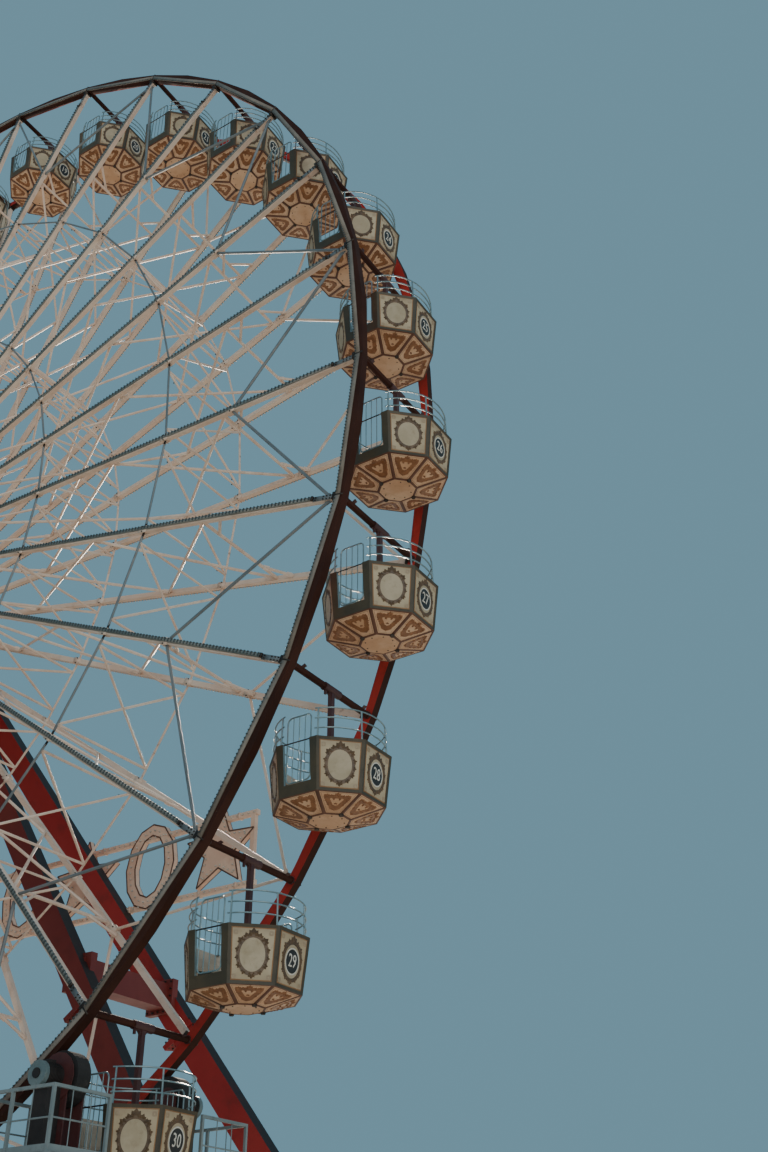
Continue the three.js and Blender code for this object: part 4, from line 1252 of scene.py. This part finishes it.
shell = bmesh.new()
for build_part in (cabin_walls, cabin_cone, cabin_floor, cabin_seats, cabin_post):
    build_part(shell)
shell_mesh = bpy.data.meshes.new("cabin_shell")
shell.to_mesh(shell_mesh)
shell.free()
keep_local_places(shell_mesh)
print("cabin shell", triangles(shell_mesh), "triangles")

# %% [markdown]
# The hand rails are thin tubes: three arcs on each side, posts at the corners of the octagon, and at each
# entrance a rod and a gate with rounded corners and three upright bars. A bent tube is a small circle spun
# about an axis, so arcs and rounded corners come from the same helper.

# %% Rails and gates
RAIL_HEIGHTS = (-0.83, -1.02, -1.21)
RAIL_TUBE = 0.028
RAIL_TOP_RADIUS = 0.985
RAIL_FOOT_RADIUS = 1.003
RAIL_SPREAD = math.radians(142)
RAIL_STEPS = 16
RAIL_POST = 0.032
RAIL_POST_SINK = 0.01
RAIL_LUG_REACH = (-0.0176, 0.0704)
RAIL_LUG = (0.045, 0.014)
GATE_HALF = 0.245
GATE_LOW = SILL_TOP + 0.03
GATE_HIGH = -0.90
GATE_Y = 0.93
GATE_BEND = 0.085
GATE_BEND_STEPS = 4
GATE_TUBE = 0.030
GATE_BAR_TUBE = 0.018
GATE_BARS = 3
ROD_HALF = 0.31
ROD_TUBE = 0.026
ROD_Y = WALL_TOP_FLATS / 2 - 0.025
ROD_Z = WALL_TOP - 0.012


def bent_tube(bend, tube, angle, steps):
    """A tube bent about Z from the X axis on, with closed ends."""
    bm = bmesh.new()
    place = Matrix.Translation((bend, 0, 0)) @ Matrix.Rotation(math.pi / 2, 4, "X")
    bmesh.ops.create_circle(bm, segments=6, radius=tube / 2, matrix=place)
    profile = bm.verts[:] + bm.edges[:]
    bmesh.ops.spin(bm, geom=profile, cent=(0, 0, 0), axis=(0, 0, 1), angle=angle, steps=steps)
    bmesh.ops.holes_fill(bm, edges=[edge for edge in bm.edges if edge.is_boundary], sides=6)
    return shape_of(bm)


def rail_radius(z):
    share = (z - WALL_TOP) / (RAIL_HEIGHTS[0] - WALL_TOP)
    return RAIL_FOOT_RADIUS + share * (RAIL_TOP_RADIUS - RAIL_FOOT_RADIUS)


def at_corner(turn, z):
    return around(rail_radius(z), turn, z)


def gate_tubes(y):
    """Start, end and thickness of the straight tubes of one gate."""
    bend_x, bend_low, bend_high = GATE_HALF - GATE_BEND, GATE_LOW + GATE_BEND, GATE_HIGH - GATE_BEND
    for x in (-GATE_HALF, GATE_HALF):
        yield Vector((x, y, bend_low)), Vector((x, y, bend_high)), GATE_TUBE
    for z in (GATE_LOW, GATE_HIGH):
        yield Vector((-bend_x, y, z)), Vector((bend_x, y, z)), GATE_TUBE
    for k in range(GATE_BARS):
        x = GATE_HALF * (2 * (k + 1) / (GATE_BARS + 1) - 1)
        yield Vector((x, y, GATE_LOW)), Vector((x, y, GATE_HIGH)), GATE_BAR_TUBE


def gate_bend_places(y):
    upright = Matrix.Rotation(math.pi / 2, 4, "X")
    for k, (x, z) in enumerate(((1, 1), (-1, 1), (-1, -1), (1, -1))):
        middle_z = GATE_HIGH - GATE_BEND if z > 0 else GATE_LOW + GATE_BEND
        corner = Vector((x * (GATE_HALF - GATE_BEND), y, middle_z))
        yield Matrix.Translation(corner) @ upright @ Matrix.Rotation(k * math.pi / 2, 4, "Z")


rails = Stamps()
for middle in (0.0, math.pi):
    for z in RAIL_HEIGHTS:
        place = Matrix.Translation((0, 0, z)) @ Matrix.Rotation(middle - RAIL_SPREAD / 2, 4, "Z")
        rails.stamp(bent_tube(rail_radius(z), RAIL_TUBE, RAIL_SPREAD, RAIL_STEPS), [place])
for turn in corner_turns():
    post_ends = (at_corner(turn, z) for z in (WALL_TOP - RAIL_POST_SINK, RAIL_HEIGHTS[0]))
    rails.bar(TUBE, *post_ends, RAIL_POST, RAIL_POST, X)
    out = around(1, turn, 0)
    lug_ends = (at_corner(turn, WALL_TOP) + out * reach for reach in RAIL_LUG_REACH)
    rails.bar(BOX, *lug_ends, *RAIL_LUG, out.cross(Z))
gate_bend = bent_tube(GATE_BEND, GATE_TUBE, math.pi / 2, GATE_BEND_STEPS)
for side in (-1, 1):
    for start, end, tube in gate_tubes(side * GATE_Y):
        rails.bar(TUBE, start, end, tube, tube, Y)
    rails.stamp(gate_bend, gate_bend_places(side * GATE_Y))
    rod_ends = (Vector((x, side * ROD_Y, ROD_Z)) for x in (-ROD_HALF, ROD_HALF))
    rails.bar(TUBE, *rod_ends, ROD_TUBE, ROD_TUBE, Y, 1)
rails_mesh = rails.mesh("cabin_rails")
print("cabin rails", triangles(rails_mesh), "triangles")

# %% [markdown]
# The ornament is low relief. A wreath is a flat ring with a waved edge and sprays of leaves laid over it: a
# tall crest at the top, big sprays on both shoulders, small ones down the sides. The cartouches underneath
# are three-sided shields made the same way. Each leaf is a flat five-sided pyramid, so thousands stay
# light.

# %% Ornament shapes
LEAF = tube_shape(5, 0.0)
LEAF_SLIM = 0.58
LEAF_TALL = 0.018
SPRAY_TAPER = 0.13
DISC = (0.208, 0.268)
WREATH = (DISC[0] * 1.24, DISC[1] * 1.19, 0.05, 9)
LEAF_RING = (DISC[0] * 1.06, DISC[1] * 1.04)
PLATE = (0.162, 0.190)
PLATE_LINE_INNER = (0.166, 0.194)
PLATE_LINE_OUTER = (0.186, 0.215)
ROSETTE = (0.040, 0.040, 0.2, 2)
ROSETTE_HOLE = (0.014, 0.014)
PINHOLE = (0.001, 0.001)
SHIELD = (0.90, 0.10)
SHIELD_HOLE = (0.44, 0.16)
WREATH_STEPS, SHIELD_STEPS, PLATE_STEPS, ROSETTE_STEPS = 48, 42, 24, 8
RELIEF = 0.008
WREATH_SPRAYS = [
    # turn on the ring's right half, leaves in the spray, length of the middle leaf, spread between leaves
    (90, 5, 0.150, 34),
    (66, 3, 0.100, 40),
    (42, 5, 0.112, 36),
    (14, 3, 0.082, 42),
    (-10, 3, 0.072, 44),
    (-34, 4, 0.088, 38),
    (-60, 3, 0.084, 40),
    (-90, 5, 0.104, 36),
]
SHIELD_SIDES = ((90, 0.150), (-27, 0.172), (207, 0.172), (-90, 0.245))
SHIELD_SHARPNESS = 9
SHIELD_WAVES = 7
SHIELD_SPRAYS = [
    # place on the board's right half, direction, leaves, length of the middle leaf, spread between leaves
    (0.0, 0.125, 90, 5, 0.100, 36),
    (0.090, 0.105, 70, 3, 0.070, 42),
    (0.165, 0.105, 38, 5, 0.088, 38),
    (0.150, 0.015, -20, 3, 0.060, 44),
    (0.105, -0.075, -25, 3, 0.055, 44),
    (0.0, -0.190, -90, 3, 0.066, 40),
    (0.070, 0.045, 150, 3, 0.050, 44),
    (0.0, -0.085, 90, 3, 0.050, 44),
]


def shield_outline(scale, wave):
    """Wide at the outer end, narrow and round at the inner one: a soft polygon from its sides' distances."""
    def outline(angle):
        pull = 0.0
        for side_deg, distance in SHIELD_SIDES:
            pull += max(0.0, math.cos(angle - math.radians(side_deg)) / distance) ** SHIELD_SHARPNESS
        reach = scale * pull ** (-1 / SHIELD_SHARPNESS) * (1 + wave * abs(math.sin(SHIELD_WAVES * angle)))
        return reach * math.cos(angle), reach * math.sin(angle)
    return outline


def leaf_place(x, y, turn, long):
    """A leaf lying on XY, its stalk at the given place, pointing along turn."""
    middle = (x + long / 2 * math.cos(turn), y + long / 2 * math.sin(turn), LEAF_TALL / 2)
    size = Matrix.Diagonal((LEAF_SLIM * long, long, LEAF_TALL, 1))
    return Matrix.Translation(middle) @ Matrix.Rotation(turn - math.pi / 2, 4, "Z") @ size


def spray(x, y, turn, leaves, long, spread):
    """Leaves fanned out from one place, the middle ones longest."""
    for k in range(leaves):
        step = k - (leaves - 1) / 2
        size = long * (1 - SPRAY_TAPER * abs(step))
        yield leaf_place(x, y, turn + step * math.radians(spread), size)


def wreath_leaves():
    ring = ring_outline(*LEAF_RING)
    for turn_deg, leaves, long, spread in WREATH_SPRAYS:
        on_middle_line = abs(turn_deg) == 90
        for both_deg in (turn_deg,) if on_middle_line else (turn_deg, 180 - turn_deg):
            turn = math.radians(both_deg)
            yield from spray(*ring(turn), turn, leaves, long, spread)


def shield_leaves():
    for x, y, turn_deg, leaves, long, spread in SHIELD_SPRAYS:
        yield from spray(x, y, math.radians(turn_deg), leaves, long, spread)
        if x:
            yield from spray(-x, y, math.radians(180 - turn_deg), leaves, long, spread)


def oval_band(outer, inner, steps, thick):
    return waved_band(ring_outline(*outer), ring_outline(*inner), steps, thick)


wreath = oval_band(WREATH, DISC, WREATH_STEPS, RELIEF)
plain_disc = oval_band(DISC, PINHOLE, PLATE_STEPS, RELIEF * 0.5)
cartouche = waved_band(shield_outline(*SHIELD), shield_outline(*SHIELD_HOLE), SHIELD_STEPS, RELIEF * 0.7)
number_plate = oval_band(PLATE, PINHOLE, PLATE_STEPS, RELIEF)
plate_line = oval_band(PLATE_LINE_OUTER, PLATE_LINE_INNER, PLATE_STEPS, RELIEF)
rosette = oval_band(ROSETTE, ROSETTE_HOLE, ROSETTE_STEPS, RELIEF * 0.6)
print("wreath", len(wreath[2]), "faces, cartouche", len(cartouche[2]), "faces")

# %% [markdown]
# Each panel has its own little drawing board: a place whose X runs across the panel, Y up it and Z out of
# it. Ornament is drawn on a flat board once and then carried to all eight directions.

# %% Lay the ornament on the cabin
PANEL_SINK = 0.0065
CONE_SINK = 0.0045
WREATH_DROP = -0.012
CARTOUCHE_LIFT = 0.045
PLATE_LIFT = 0.001
NUMBER_LIFT = RELIEF + 0.004
WREATH_PAINT, SHIELD_PAINT, DISC_PAINT, ROSETTE_PAINT, PLATE_PAINT, NUMBER_PAINT, BOLT_PAINT = range(7)
ROSETTE_X, ROSETTE_Y = 0.285, 0.345
ROSETTE_FLARE = 0.06
BASE_BOLT = (0.092, 0.034)
BASE_BOLT_RADIUS = corner_radius(BASE_FLATS) + 0.01
BASE_BOLT_LIFT, SMALL_BOLT_LIFT = 0.010, 0.006
SMALL_BOLT_RADIUS = 0.27
SMALL_BOLT_TURN = -0.39
SMALL_BOLT = (0.026, 0.012)
ENTRANCE_SIDES, NUMBER_SIDES = (2, 6), (0, 4)
ORNAMENT_PAINTS = [
    ornament_brown, cartouche_brown, disc_cream, rosette_brown, plate_black, number_white, bolt_steel]


def board_place(azimuth, low, high, lift):
    """The drawing board of a panel, between the (radius, z) of its lower and upper edge."""
    slope = Vector((high[0] - low[0], 0, high[1] - low[1])).normalized()
    out = Vector((slope.z, 0, -slope.x))
    middle = Vector(((low[0] + high[0]) / 2, 0, (low[1] + high[1]) / 2)) + out * lift
    board = Matrix((Y, slope, out)).transposed().to_4x4()
    board.translation = middle
    return Matrix.Rotation(azimuth, 4, "Z") @ board


def shifted(board, x, y, z=0.0):
    return board @ Matrix.Translation((x, y, z))


def rosette_places(board):
    for x in (-ROSETTE_X, ROSETTE_X):
        for y in (-ROSETTE_Y, ROSETTE_Y):
            yield shifted(board, x * (1 + ROSETTE_FLARE * y), y)


wall_low, wall_high = (WALL_BOTTOM_FLATS / 2, WALL_BOTTOM), (WALL_TOP_FLATS / 2, WALL_TOP)
cone_low, cone_high = (BASE_FLATS / 2, CABIN_BASE), (WALL_BOTTOM_FLATS / 2, WALL_BOTTOM)
ornaments = Stamps()
for k in range(CABIN_SIDES):
    azimuth = k * SIDE_TURN
    shield_board = shifted(board_place(azimuth, cone_low, cone_high, -CONE_SINK), 0, CARTOUCHE_LIFT)
    ornaments.stamp(cartouche, [shield_board], SHIELD_PAINT)
    ornaments.stamp(LEAF, [shield_board @ leaf for leaf in shield_leaves()], SHIELD_PAINT)
    if k in ENTRANCE_SIDES:
        continue
    board = shifted(board_place(azimuth, wall_low, wall_high, -PANEL_SINK), 0, WREATH_DROP)
    ornaments.stamp(wreath, [board], WREATH_PAINT)
    ornaments.stamp(LEAF, [board @ leaf for leaf in wreath_leaves()], WREATH_PAINT)
    ornaments.stamp(plain_disc, [board], DISC_PAINT)
    ornaments.stamp(rosette, rosette_places(board), ROSETTE_PAINT)
    if k in NUMBER_SIDES:
        ornaments.stamp(number_plate, [shifted(board, 0, 0, PLATE_LIFT)], PLATE_PAINT)
        ornaments.stamp(plate_line, [board], NUMBER_PAINT)
for k, turn in enumerate(corner_turns()):
    if k % 2 == 1:
        foot = around(BASE_BOLT_RADIUS, turn, CABIN_BASE + BASE_BOLT_LIFT)
        ornaments.studs(HEX_BOLT, [foot], -Z, BASE_BOLT, BOLT_PAINT)
    foot = around(SMALL_BOLT_RADIUS, turn + SMALL_BOLT_TURN, CABIN_BASE + SMALL_BOLT_LIFT)
    ornaments.studs(HEX_BOLT, [foot], -Z, SMALL_BOLT, BOLT_PAINT)
ornament_mesh = ornaments.mesh("cabin_ornaments")
print("cabin ornaments", triangles(ornament_mesh), "triangles")

# %% [markdown]
# Numbers are the one place for text on this wheel: plain counting numbers, made as a font curve, turned
# into a mesh, and laid on the two number plates. Then each cabin gets its copy of the three meshes, moved
# to its own axis. The new shell takes the place of the plain CAD cabin.

# %% Dress all cabins
NUMBER_SIZE = 0.30
NUMBER_NARROW = 0.72
NUMBER_THICK = 0.003
NUMBER_SMOOTHNESS = 2


def number_shape(text):
    curve = bpy.data.curves.new("number", "FONT")
    curve.body = text
    curve.size = NUMBER_SIZE
    curve.align_x, curve.align_y = "CENTER", "CENTER"
    curve.extrude = NUMBER_THICK
    curve.resolution_u = NUMBER_SMOOTHNESS
    writer = bpy.data.objects.new("number", curve)
    bpy.context.scene.collection.objects.link(writer)
    depsgraph = bpy.context.evaluated_depsgraph_get()
    mesh = bpy.data.meshes.new_from_object(writer.evaluated_get(depsgraph))
    bpy.data.objects.remove(writer)
    bm = bmesh.new()
    bm.from_mesh(mesh)
    bmesh.ops.remove_doubles(bm, verts=bm.verts[:], dist=1e-5)
    bmesh.ops.scale(bm, vec=(NUMBER_NARROW, 1.0, 1.0), verts=bm.verts[:])
    return shape_of(bm)


def joined_mesh(name, meshes):
    bm = bmesh.new()
    for mesh in meshes:
        bm.from_mesh(mesh)
    joined = bpy.data.meshes.new(name)
    bm.to_mesh(joined)
    bm.free()
    return joined


number_boards = [
    shifted(board_place(turn, wall_low, wall_high, -PANEL_SINK), 0, WREATH_DROP, NUMBER_LIFT)
    for turn in (0.0, math.pi)
]
for number in range(1, CABINS + 1):
    cabin, body = f"cabin_{number:02d}", f"cabin_{number:02d}_body"
    digits = Stamps()
    digits.stamp(number_shape(str(number)), number_boards, NUMBER_PAINT)
    relief_mesh = joined_mesh("cabin_ornaments", [ornament_mesh, digits.mesh("digits")])
    parts = {
        # the mesh, its paints, its material slot, and the angle up to which edges are smooth
        "shell": (shell_mesh.copy(), SHELL_PAINTS, "cabin_panels", None),
        "rails": (rails_mesh.copy(), [pale_blue, bolt_steel], None, 50),
        "ornaments": (relief_mesh, ORNAMENT_PAINTS, None, 20),
    }
    for part, (mesh, paints, slot, smooth_deg) in parts.items():
        mesh.transform(Matrix.Translation(joints[f"{cabin}_hang"]["pos_m"]))
        cabin_piece = finish_piece(f"{cabin}_{part}", mesh, body, paints, slot, smooth_deg)
        if part == "shell":
            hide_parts(cabin)
print("dressed", CABINS, "cabins")

# %% [markdown]
# The supports get their bolts: around the brace flanges, on the lips of the splice collars, on the foot
# plates and on the bearing heads.

# %% Leg and bearing bolts
LEG_FOOT_X = 14.28
LEG_DEEP, LEG_THICK = 0.60, 0.33
COLLAR_DROP = 10.85
COLLAR_BOLT_STEP = 0.1125
COLLAR_REACHES = (-LEG_DEEP / 2 - 0.015, LEG_DEEP / 2 + 0.07, LEG_DEEP / 2 + 0.17)
COLLAR_SHIFTS = (-0.14, 0.0, 0.14)
BRACE_DROP = 10.15
FLANGE_THICK = 0.06
FLANGE_EDGE = 0.33
FLANGE_BOLTS = (-0.32, -0.16, 0.0, 0.16, 0.32)
FLANGE_INNER = 0.3
INNER_LEG_Y = 2.64
OUTER_TOP_Y, OUTER_FOOT_Y = 3.14, 8.0
LEG_BOLT = (0.05, 0.035)
FOOT_PLATE_THICK = 0.06
FOOT_BOLT_REACH = 0.48
FOOT_BOLT = (0.07, 0.05)
HEAD_BOLTS = 12
HEAD_BOLT_RADIUS = 0.30
HEAD_COVER = (0.25, 0.03)


def ring_points(centre, radius, count):
    """Points around a centre, in the plane square to the axle."""
    for k in range(count):
        turn = k * 2 * math.pi / count
        yield centre + Vector((math.cos(turn), 0, math.sin(turn))) * radius


def leg_point(right_side, far_side, outer, drop):
    share = drop / HUB.z
    y = OUTER_TOP_Y + (OUTER_FOOT_Y - OUTER_TOP_Y) * share if outer else INNER_LEG_Y
    return Vector((right_side * LEG_FOOT_X * share, far_side * y, HUB.z - drop))


def stamp_collar_bolts(right_side, far_side, outer):
    """Two rows of bolts on the lip under the leg, and one on its upper edge."""
    middle = leg_point(right_side, far_side, outer, COLLAR_DROP)
    along = (leg_point(right_side, far_side, outer, HUB.z) - middle).normalized()
    under = Vector((along.z, 0, -along.x)).normalized() * right_side
    for reach in COLLAR_REACHES:
        for shift in COLLAR_SHIFTS:
            foot = middle + under * reach + Y * shift
            leg_fit.studs(HEX_BOLT, [foot], -along, LEG_BOLT)
            leg_fit.studs(HEX_BOLT, [foot + along * COLLAR_BOLT_STEP], along, LEG_BOLT)


def stamp_flange_bolts(right_side, far_side):
    ends = [leg_point(right_side, far_side, outer, BRACE_DROP) for outer in (False, True)]
    along = (ends[1] - ends[0]).normalized()
    reach = LEG_THICK / 2 + FLANGE_THICK
    for foot, out in ((ends[0] + along * reach, along), (ends[1] - along * reach, -along)):
        for edge in (-FLANGE_EDGE, FLANGE_EDGE):
            for shift in FLANGE_BOLTS:
                leg_fit.studs(HEX_BOLT, [foot + X * edge + Z * shift], out, LEG_BOLT)
                if abs(shift) < FLANGE_INNER:
                    leg_fit.studs(HEX_BOLT, [foot + X * shift + Z * edge], out, LEG_BOLT)


def stamp_foot_bolts(foot):
    for x in (-FOOT_BOLT_REACH, FOOT_BOLT_REACH):
        feet = [foot + Vector((x, y, FOOT_PLATE_THICK)) for y in (-FOOT_BOLT_REACH, 0, FOOT_BOLT_REACH)]
        leg_fit.studs(HEX_BOLT, feet, Z, FOOT_BOLT)


def stamp_head_bolts(centre, out):
    """A ring of bolts around a round cover on one face of a bearing head."""
    leg_fit.studs(HEX_BOLT, ring_points(centre, HEAD_BOLT_RADIUS, HEAD_BOLTS), out, LEG_BOLT)
    radius, thick = HEAD_COVER
    leg_fit.disc(centre, out * thick, radius)


leg_fit = Stamps()
for right_side in (-1, 1):
    for far_side in (-1, 1):
        stamp_flange_bolts(right_side, far_side)
        for outer in (False, True):
            stamp_collar_bolts(right_side, far_side, outer)
            stamp_foot_bolts(leg_point(right_side, far_side, outer, HUB.z))
head_low, head_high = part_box("bearing_head_near")
for far_side in (-1, 1):
    for face_y, out in ((-head_low.y, 1), (-head_high.y, -1)):
        stamp_head_bolts(Vector((0, far_side * face_y, HUB.z)), Y * far_side * out)
leg_fit.piece("support_bolts", "supports", [bolt_steel], smooth_deg=35)

# %% [markdown]
# The sign stands on two rails. Its stars and ovals have dark edge lines and a row of small bulbs that
# follows the outline, and more bulbs run along the rails.

# %% Sign lines and bulbs
SIGN_Y = 5.25
SIGN_HALF = 0.07
SIGN_DROP = 6.96
SIGN_SPACING = 2.18
SIGN_COUNT = 4
STAR_EDGE, STAR_BULBS = (1.06, 0.47), (0.86, 0.38)
OVAL_EDGES, OVAL_BULBS = [(0.765, 1.065), (0.485, 0.785)], (0.625, 0.925)
SIGN_RAIL_DROPS = (6.25, 7.95)
SIGN_RAIL_HALF_LONG = 9.8
SIGN_RAIL_HALF = 0.06
CLIPS = 18
CLIP_HALF, CLIP_WIDE = 0.03, 0.15
BULB_PITCH = 0.17
BULB_SIZE = (0.05, 0.045)
LINE_WIDE = 0.035
LINE_THICK = 0.012
sign_line = painted(
    "sign_edge_brown", base=(0.10, 0.045, 0.028), worn=(0.16, 0.075, 0.045), grime=(0.05, 0.03, 0.02),
    roughness=0.5, patch=2.0)


def star_corners(outer, inner):
    turns = [math.pi / 2 + k * math.pi / 5 for k in range(10)]
    reaches = [(outer, inner)[k % 2] for k in range(10)]
    return [(reach * math.cos(turn), reach * math.sin(turn)) for reach, turn in zip(reaches, turns)]


def oval_corners(half_x, half_z):
    return [(half_x * math.cos(k * math.pi / 6), half_z * math.sin(k * math.pi / 6)) for k in range(12)]


def outline_edges(corners, middle, y):
    points = [middle + Vector((x, 0, z)) + Y * y for x, z in corners]
    return [(points[k - 1], points[k]) for k in range(len(points))]


def bulb_feet(start, end):
    count = max(1, round((end - start).length / BULB_PITCH))
    return [start.lerp(end, (k + 0.5) / count) for k in range(count)]


sign_fit = Stamps()
for k in range(-SIGN_COUNT, SIGN_COUNT + 1):
    middle = Vector((k * SIGN_SPACING, 0, HUB.z - SIGN_DROP))
    if k % 2 == 0:
        edge_lines, bulb_line = [star_corners(*STAR_EDGE)], star_corners(*STAR_BULBS)
    else:
        edge_lines, bulb_line = [oval_corners(*oval) for oval in OVAL_EDGES], oval_corners(*OVAL_BULBS)
    for face in (-1, 1):
        y = SIGN_Y + face * SIGN_HALF
        for corners in edge_lines:
            for start, end in outline_edges(corners, middle, y):
                sign_fit.bar(BOX, start, end, LINE_THICK, LINE_WIDE, Y)
        for start, end in outline_edges(bulb_line, middle, y):
            sign_fit.studs(LAMP, bulb_feet(start, end), Y * face, BULB_SIZE, 1)
for drop in SIGN_RAIL_DROPS:
    height, reach = HUB.z - drop, SIGN_RAIL_HALF_LONG
    start, end = (Vector((x, SIGN_Y - SIGN_RAIL_HALF, height)) for x in (-reach, reach))
    sign_fit.studs(LAMP, bulb_feet(start, end), -Y, BULB_SIZE, 1)
    for k in range(CLIPS):
        clip = start.lerp(end, (k + 0.5) / CLIPS) + Y * SIGN_RAIL_HALF
        sign_fit.bar(BOX, clip - X * CLIP_HALF, clip + X * CLIP_HALF, CLIP_WIDE, CLIP_WIDE, Y, 2)
sign_fit.piece("sign_lines_and_bulbs", "supports", [sign_line, lamp_glass, sign_cream], "sign_cream")

# %% [markdown]
# Each drive unit is dressed with what its job needs: a maroon wheel disc with nuts on the tyre, cooling
# rings and a pale blue-grey end cap on the motor, and upright bars with a toe board on the platform's
# guard.

# %% Drive units
TYRE_HALF = 0.145
TYRE_DISCS = ((0.325, 0.004, 0), (0.235, 0.008, 1), (0.11, 0.012, 1))
NUTS = 8
NUT_RADIUS = 0.17
NUT_FOOT = 0.008
NUT_SIZE = (0.034, 0.007)
CHEEK_GAP, CHEEK_THICK = 0.025, 0.03
CHEEK_SPAN = TYRE_HALF + CHEEK_GAP + CHEEK_THICK
GUARD_DISC = (0.385, 0.015)
MOTOR_RADIUS = 0.19
MOTOR_LONG = 0.42
FINS = 9
FIN_START, FIN_PITCH = 0.07, 0.03
MOTOR_FIN = (MOTOR_RADIUS + 0.012, 0.009)
MOTOR_CAP_RADIUS = 0.20
MOTOR_CAP_SPAN = (-0.075, 0.012)
CAP_BOSS = (0.08, 0.035)
TERMINAL_BOX_Z = 0.17
TERMINAL_BOX_SPAN = (0.12, 0.28)
TERMINAL_BOX_SIZE = (0.14, 0.12)
GUARD_Z = (5.80, 6.75)
GUARD_X = 0.875
GUARD_Y = (1.135, 2.335)
BALUSTER_GAP = 0.43
BALUSTER_TUBE = 0.018
BALUSTER_DROP = 0.03
TOE_BOARD_TALL = 0.12
MID_RAIL_TALL = 0.03
BOARD_THICK = 0.02
cap_blue = painted(
    "motor_cap_blue_grey", base=(0.12, 0.185, 0.20), worn=(0.18, 0.24, 0.25), grime=(0.05, 0.055, 0.05),
    roughness=0.4, patch=3.0, chips=0.02)
cheek_maroon = painted(
    "cheek_maroon_paint", base=(0.070, 0.018, 0.018), worn=(0.11, 0.030, 0.027), grime=(0.035, 0.02, 0.016),
    roughness=0.45, patch=1.5, chips=0.03)


def guard_bars(centre, side):
    """Uprights, toe boards and middle rails of the three closed sides of a platform's guard."""
    low, high = GUARD_Z
    corners = [(-GUARD_X, GUARD_Y[0]), (-GUARD_X, GUARD_Y[1]), (GUARD_X, GUARD_Y[1]), (GUARD_X, GUARD_Y[0])]
    boards = ((low + TOE_BOARD_TALL / 2, TOE_BOARD_TALL), ((low + high) / 2, MID_RAIL_TALL))
    for (x0, y0), (x1, y1) in zip(corners, corners[1:]):
        count = round(math.hypot(x1 - x0, y1 - y0) / BALUSTER_GAP)
        for k in range(1, count):
            foot = Vector((centre.x + x0 + (x1 - x0) * k / count, side * (y0 + (y1 - y0) * k / count), low))
            top = Vector((foot.x, foot.y, high - BALUSTER_DROP))
            yield bar_place(foot, top, BALUSTER_TUBE, BALUSTER_TUBE, X)
        for z, tall in boards:
            start, end = (Vector((centre.x + x, side * y, z)) for x, y in ((x0, y0), (x1, y1)))
            yield bar_place(start, end, tall, BOARD_THICK, Z)


def tyre_disc(centre):
    """Wheel discs and nuts on both faces of a drive tyre."""
    disc_fit = Stamps()
    for out in (-Y, Y):
        foot = centre + out * TYRE_HALF
        for radius, thick, finish in TYRE_DISCS:
            disc_fit.disc(foot, out * thick, radius, finish)
        disc_fit.studs(HEX_BOLT, ring_points(foot + out * NUT_FOOT, NUT_RADIUS, NUTS), out, NUT_SIZE, 2)
    return disc_fit


def motor_fittings(start, out):
    """Cooling rings, end cap, boss, tyre guard and terminal box of a motor that runs from start along out."""
    motor_fit = Stamps()
    radius, thick = MOTOR_FIN
    for k in range(FINS):
        motor_fit.disc(start + out * (FIN_START + k * FIN_PITCH), out * thick, radius)
    end = start + out * MOTOR_LONG
    cap_start, cap_end = (end + out * reach for reach in MOTOR_CAP_SPAN)
    motor_fit.disc(cap_start, cap_end - cap_start, MOTOR_CAP_RADIUS, 1)
    motor_fit.disc(end, out * CAP_BOSS[1], CAP_BOSS[0])
    motor_fit.disc(start, out * GUARD_DISC[1], GUARD_DISC[0], 2)
    box_ends = (start + Z * TERMINAL_BOX_Z + out * reach for reach in TERMINAL_BOX_SPAN)
    motor_fit.bar(BOX, *box_ends, *TERMINAL_BOX_SIZE, X)
    return motor_fit


for side_name, side in SIDES.items():
    centre = Vector(joints[f"tyre_{side_name}_spin"]["pos_m"])
    disc_fit = tyre_disc(centre)
    disc_paints = [tyre_rubber, cheek_maroon, bolt_steel]
    disc_fit.piece(f"drive_tyre_{side_name}_disc", f"tyre_{side_name}_body", disc_paints, smooth_deg=30)
    motor_fit = motor_fittings(centre + Y * (side * (CHEEK_SPAN + RIM_Y) - centre.y), Y * side)
    motor_paints = [motor_enamel, cap_blue, cheek_maroon]
    motor_fit.piece(f"drive_motor_{side_name}_fittings", "supports", motor_paints, smooth_deg=30)
    guard_fit = Stamps()
    guard_fit.stamp(TUBE, guard_bars(centre, side))
    guard_fit.piece(f"drive_guard_{side_name}", "supports", [tower_blue], "blue_grey", 40)
print("drive units dressed")
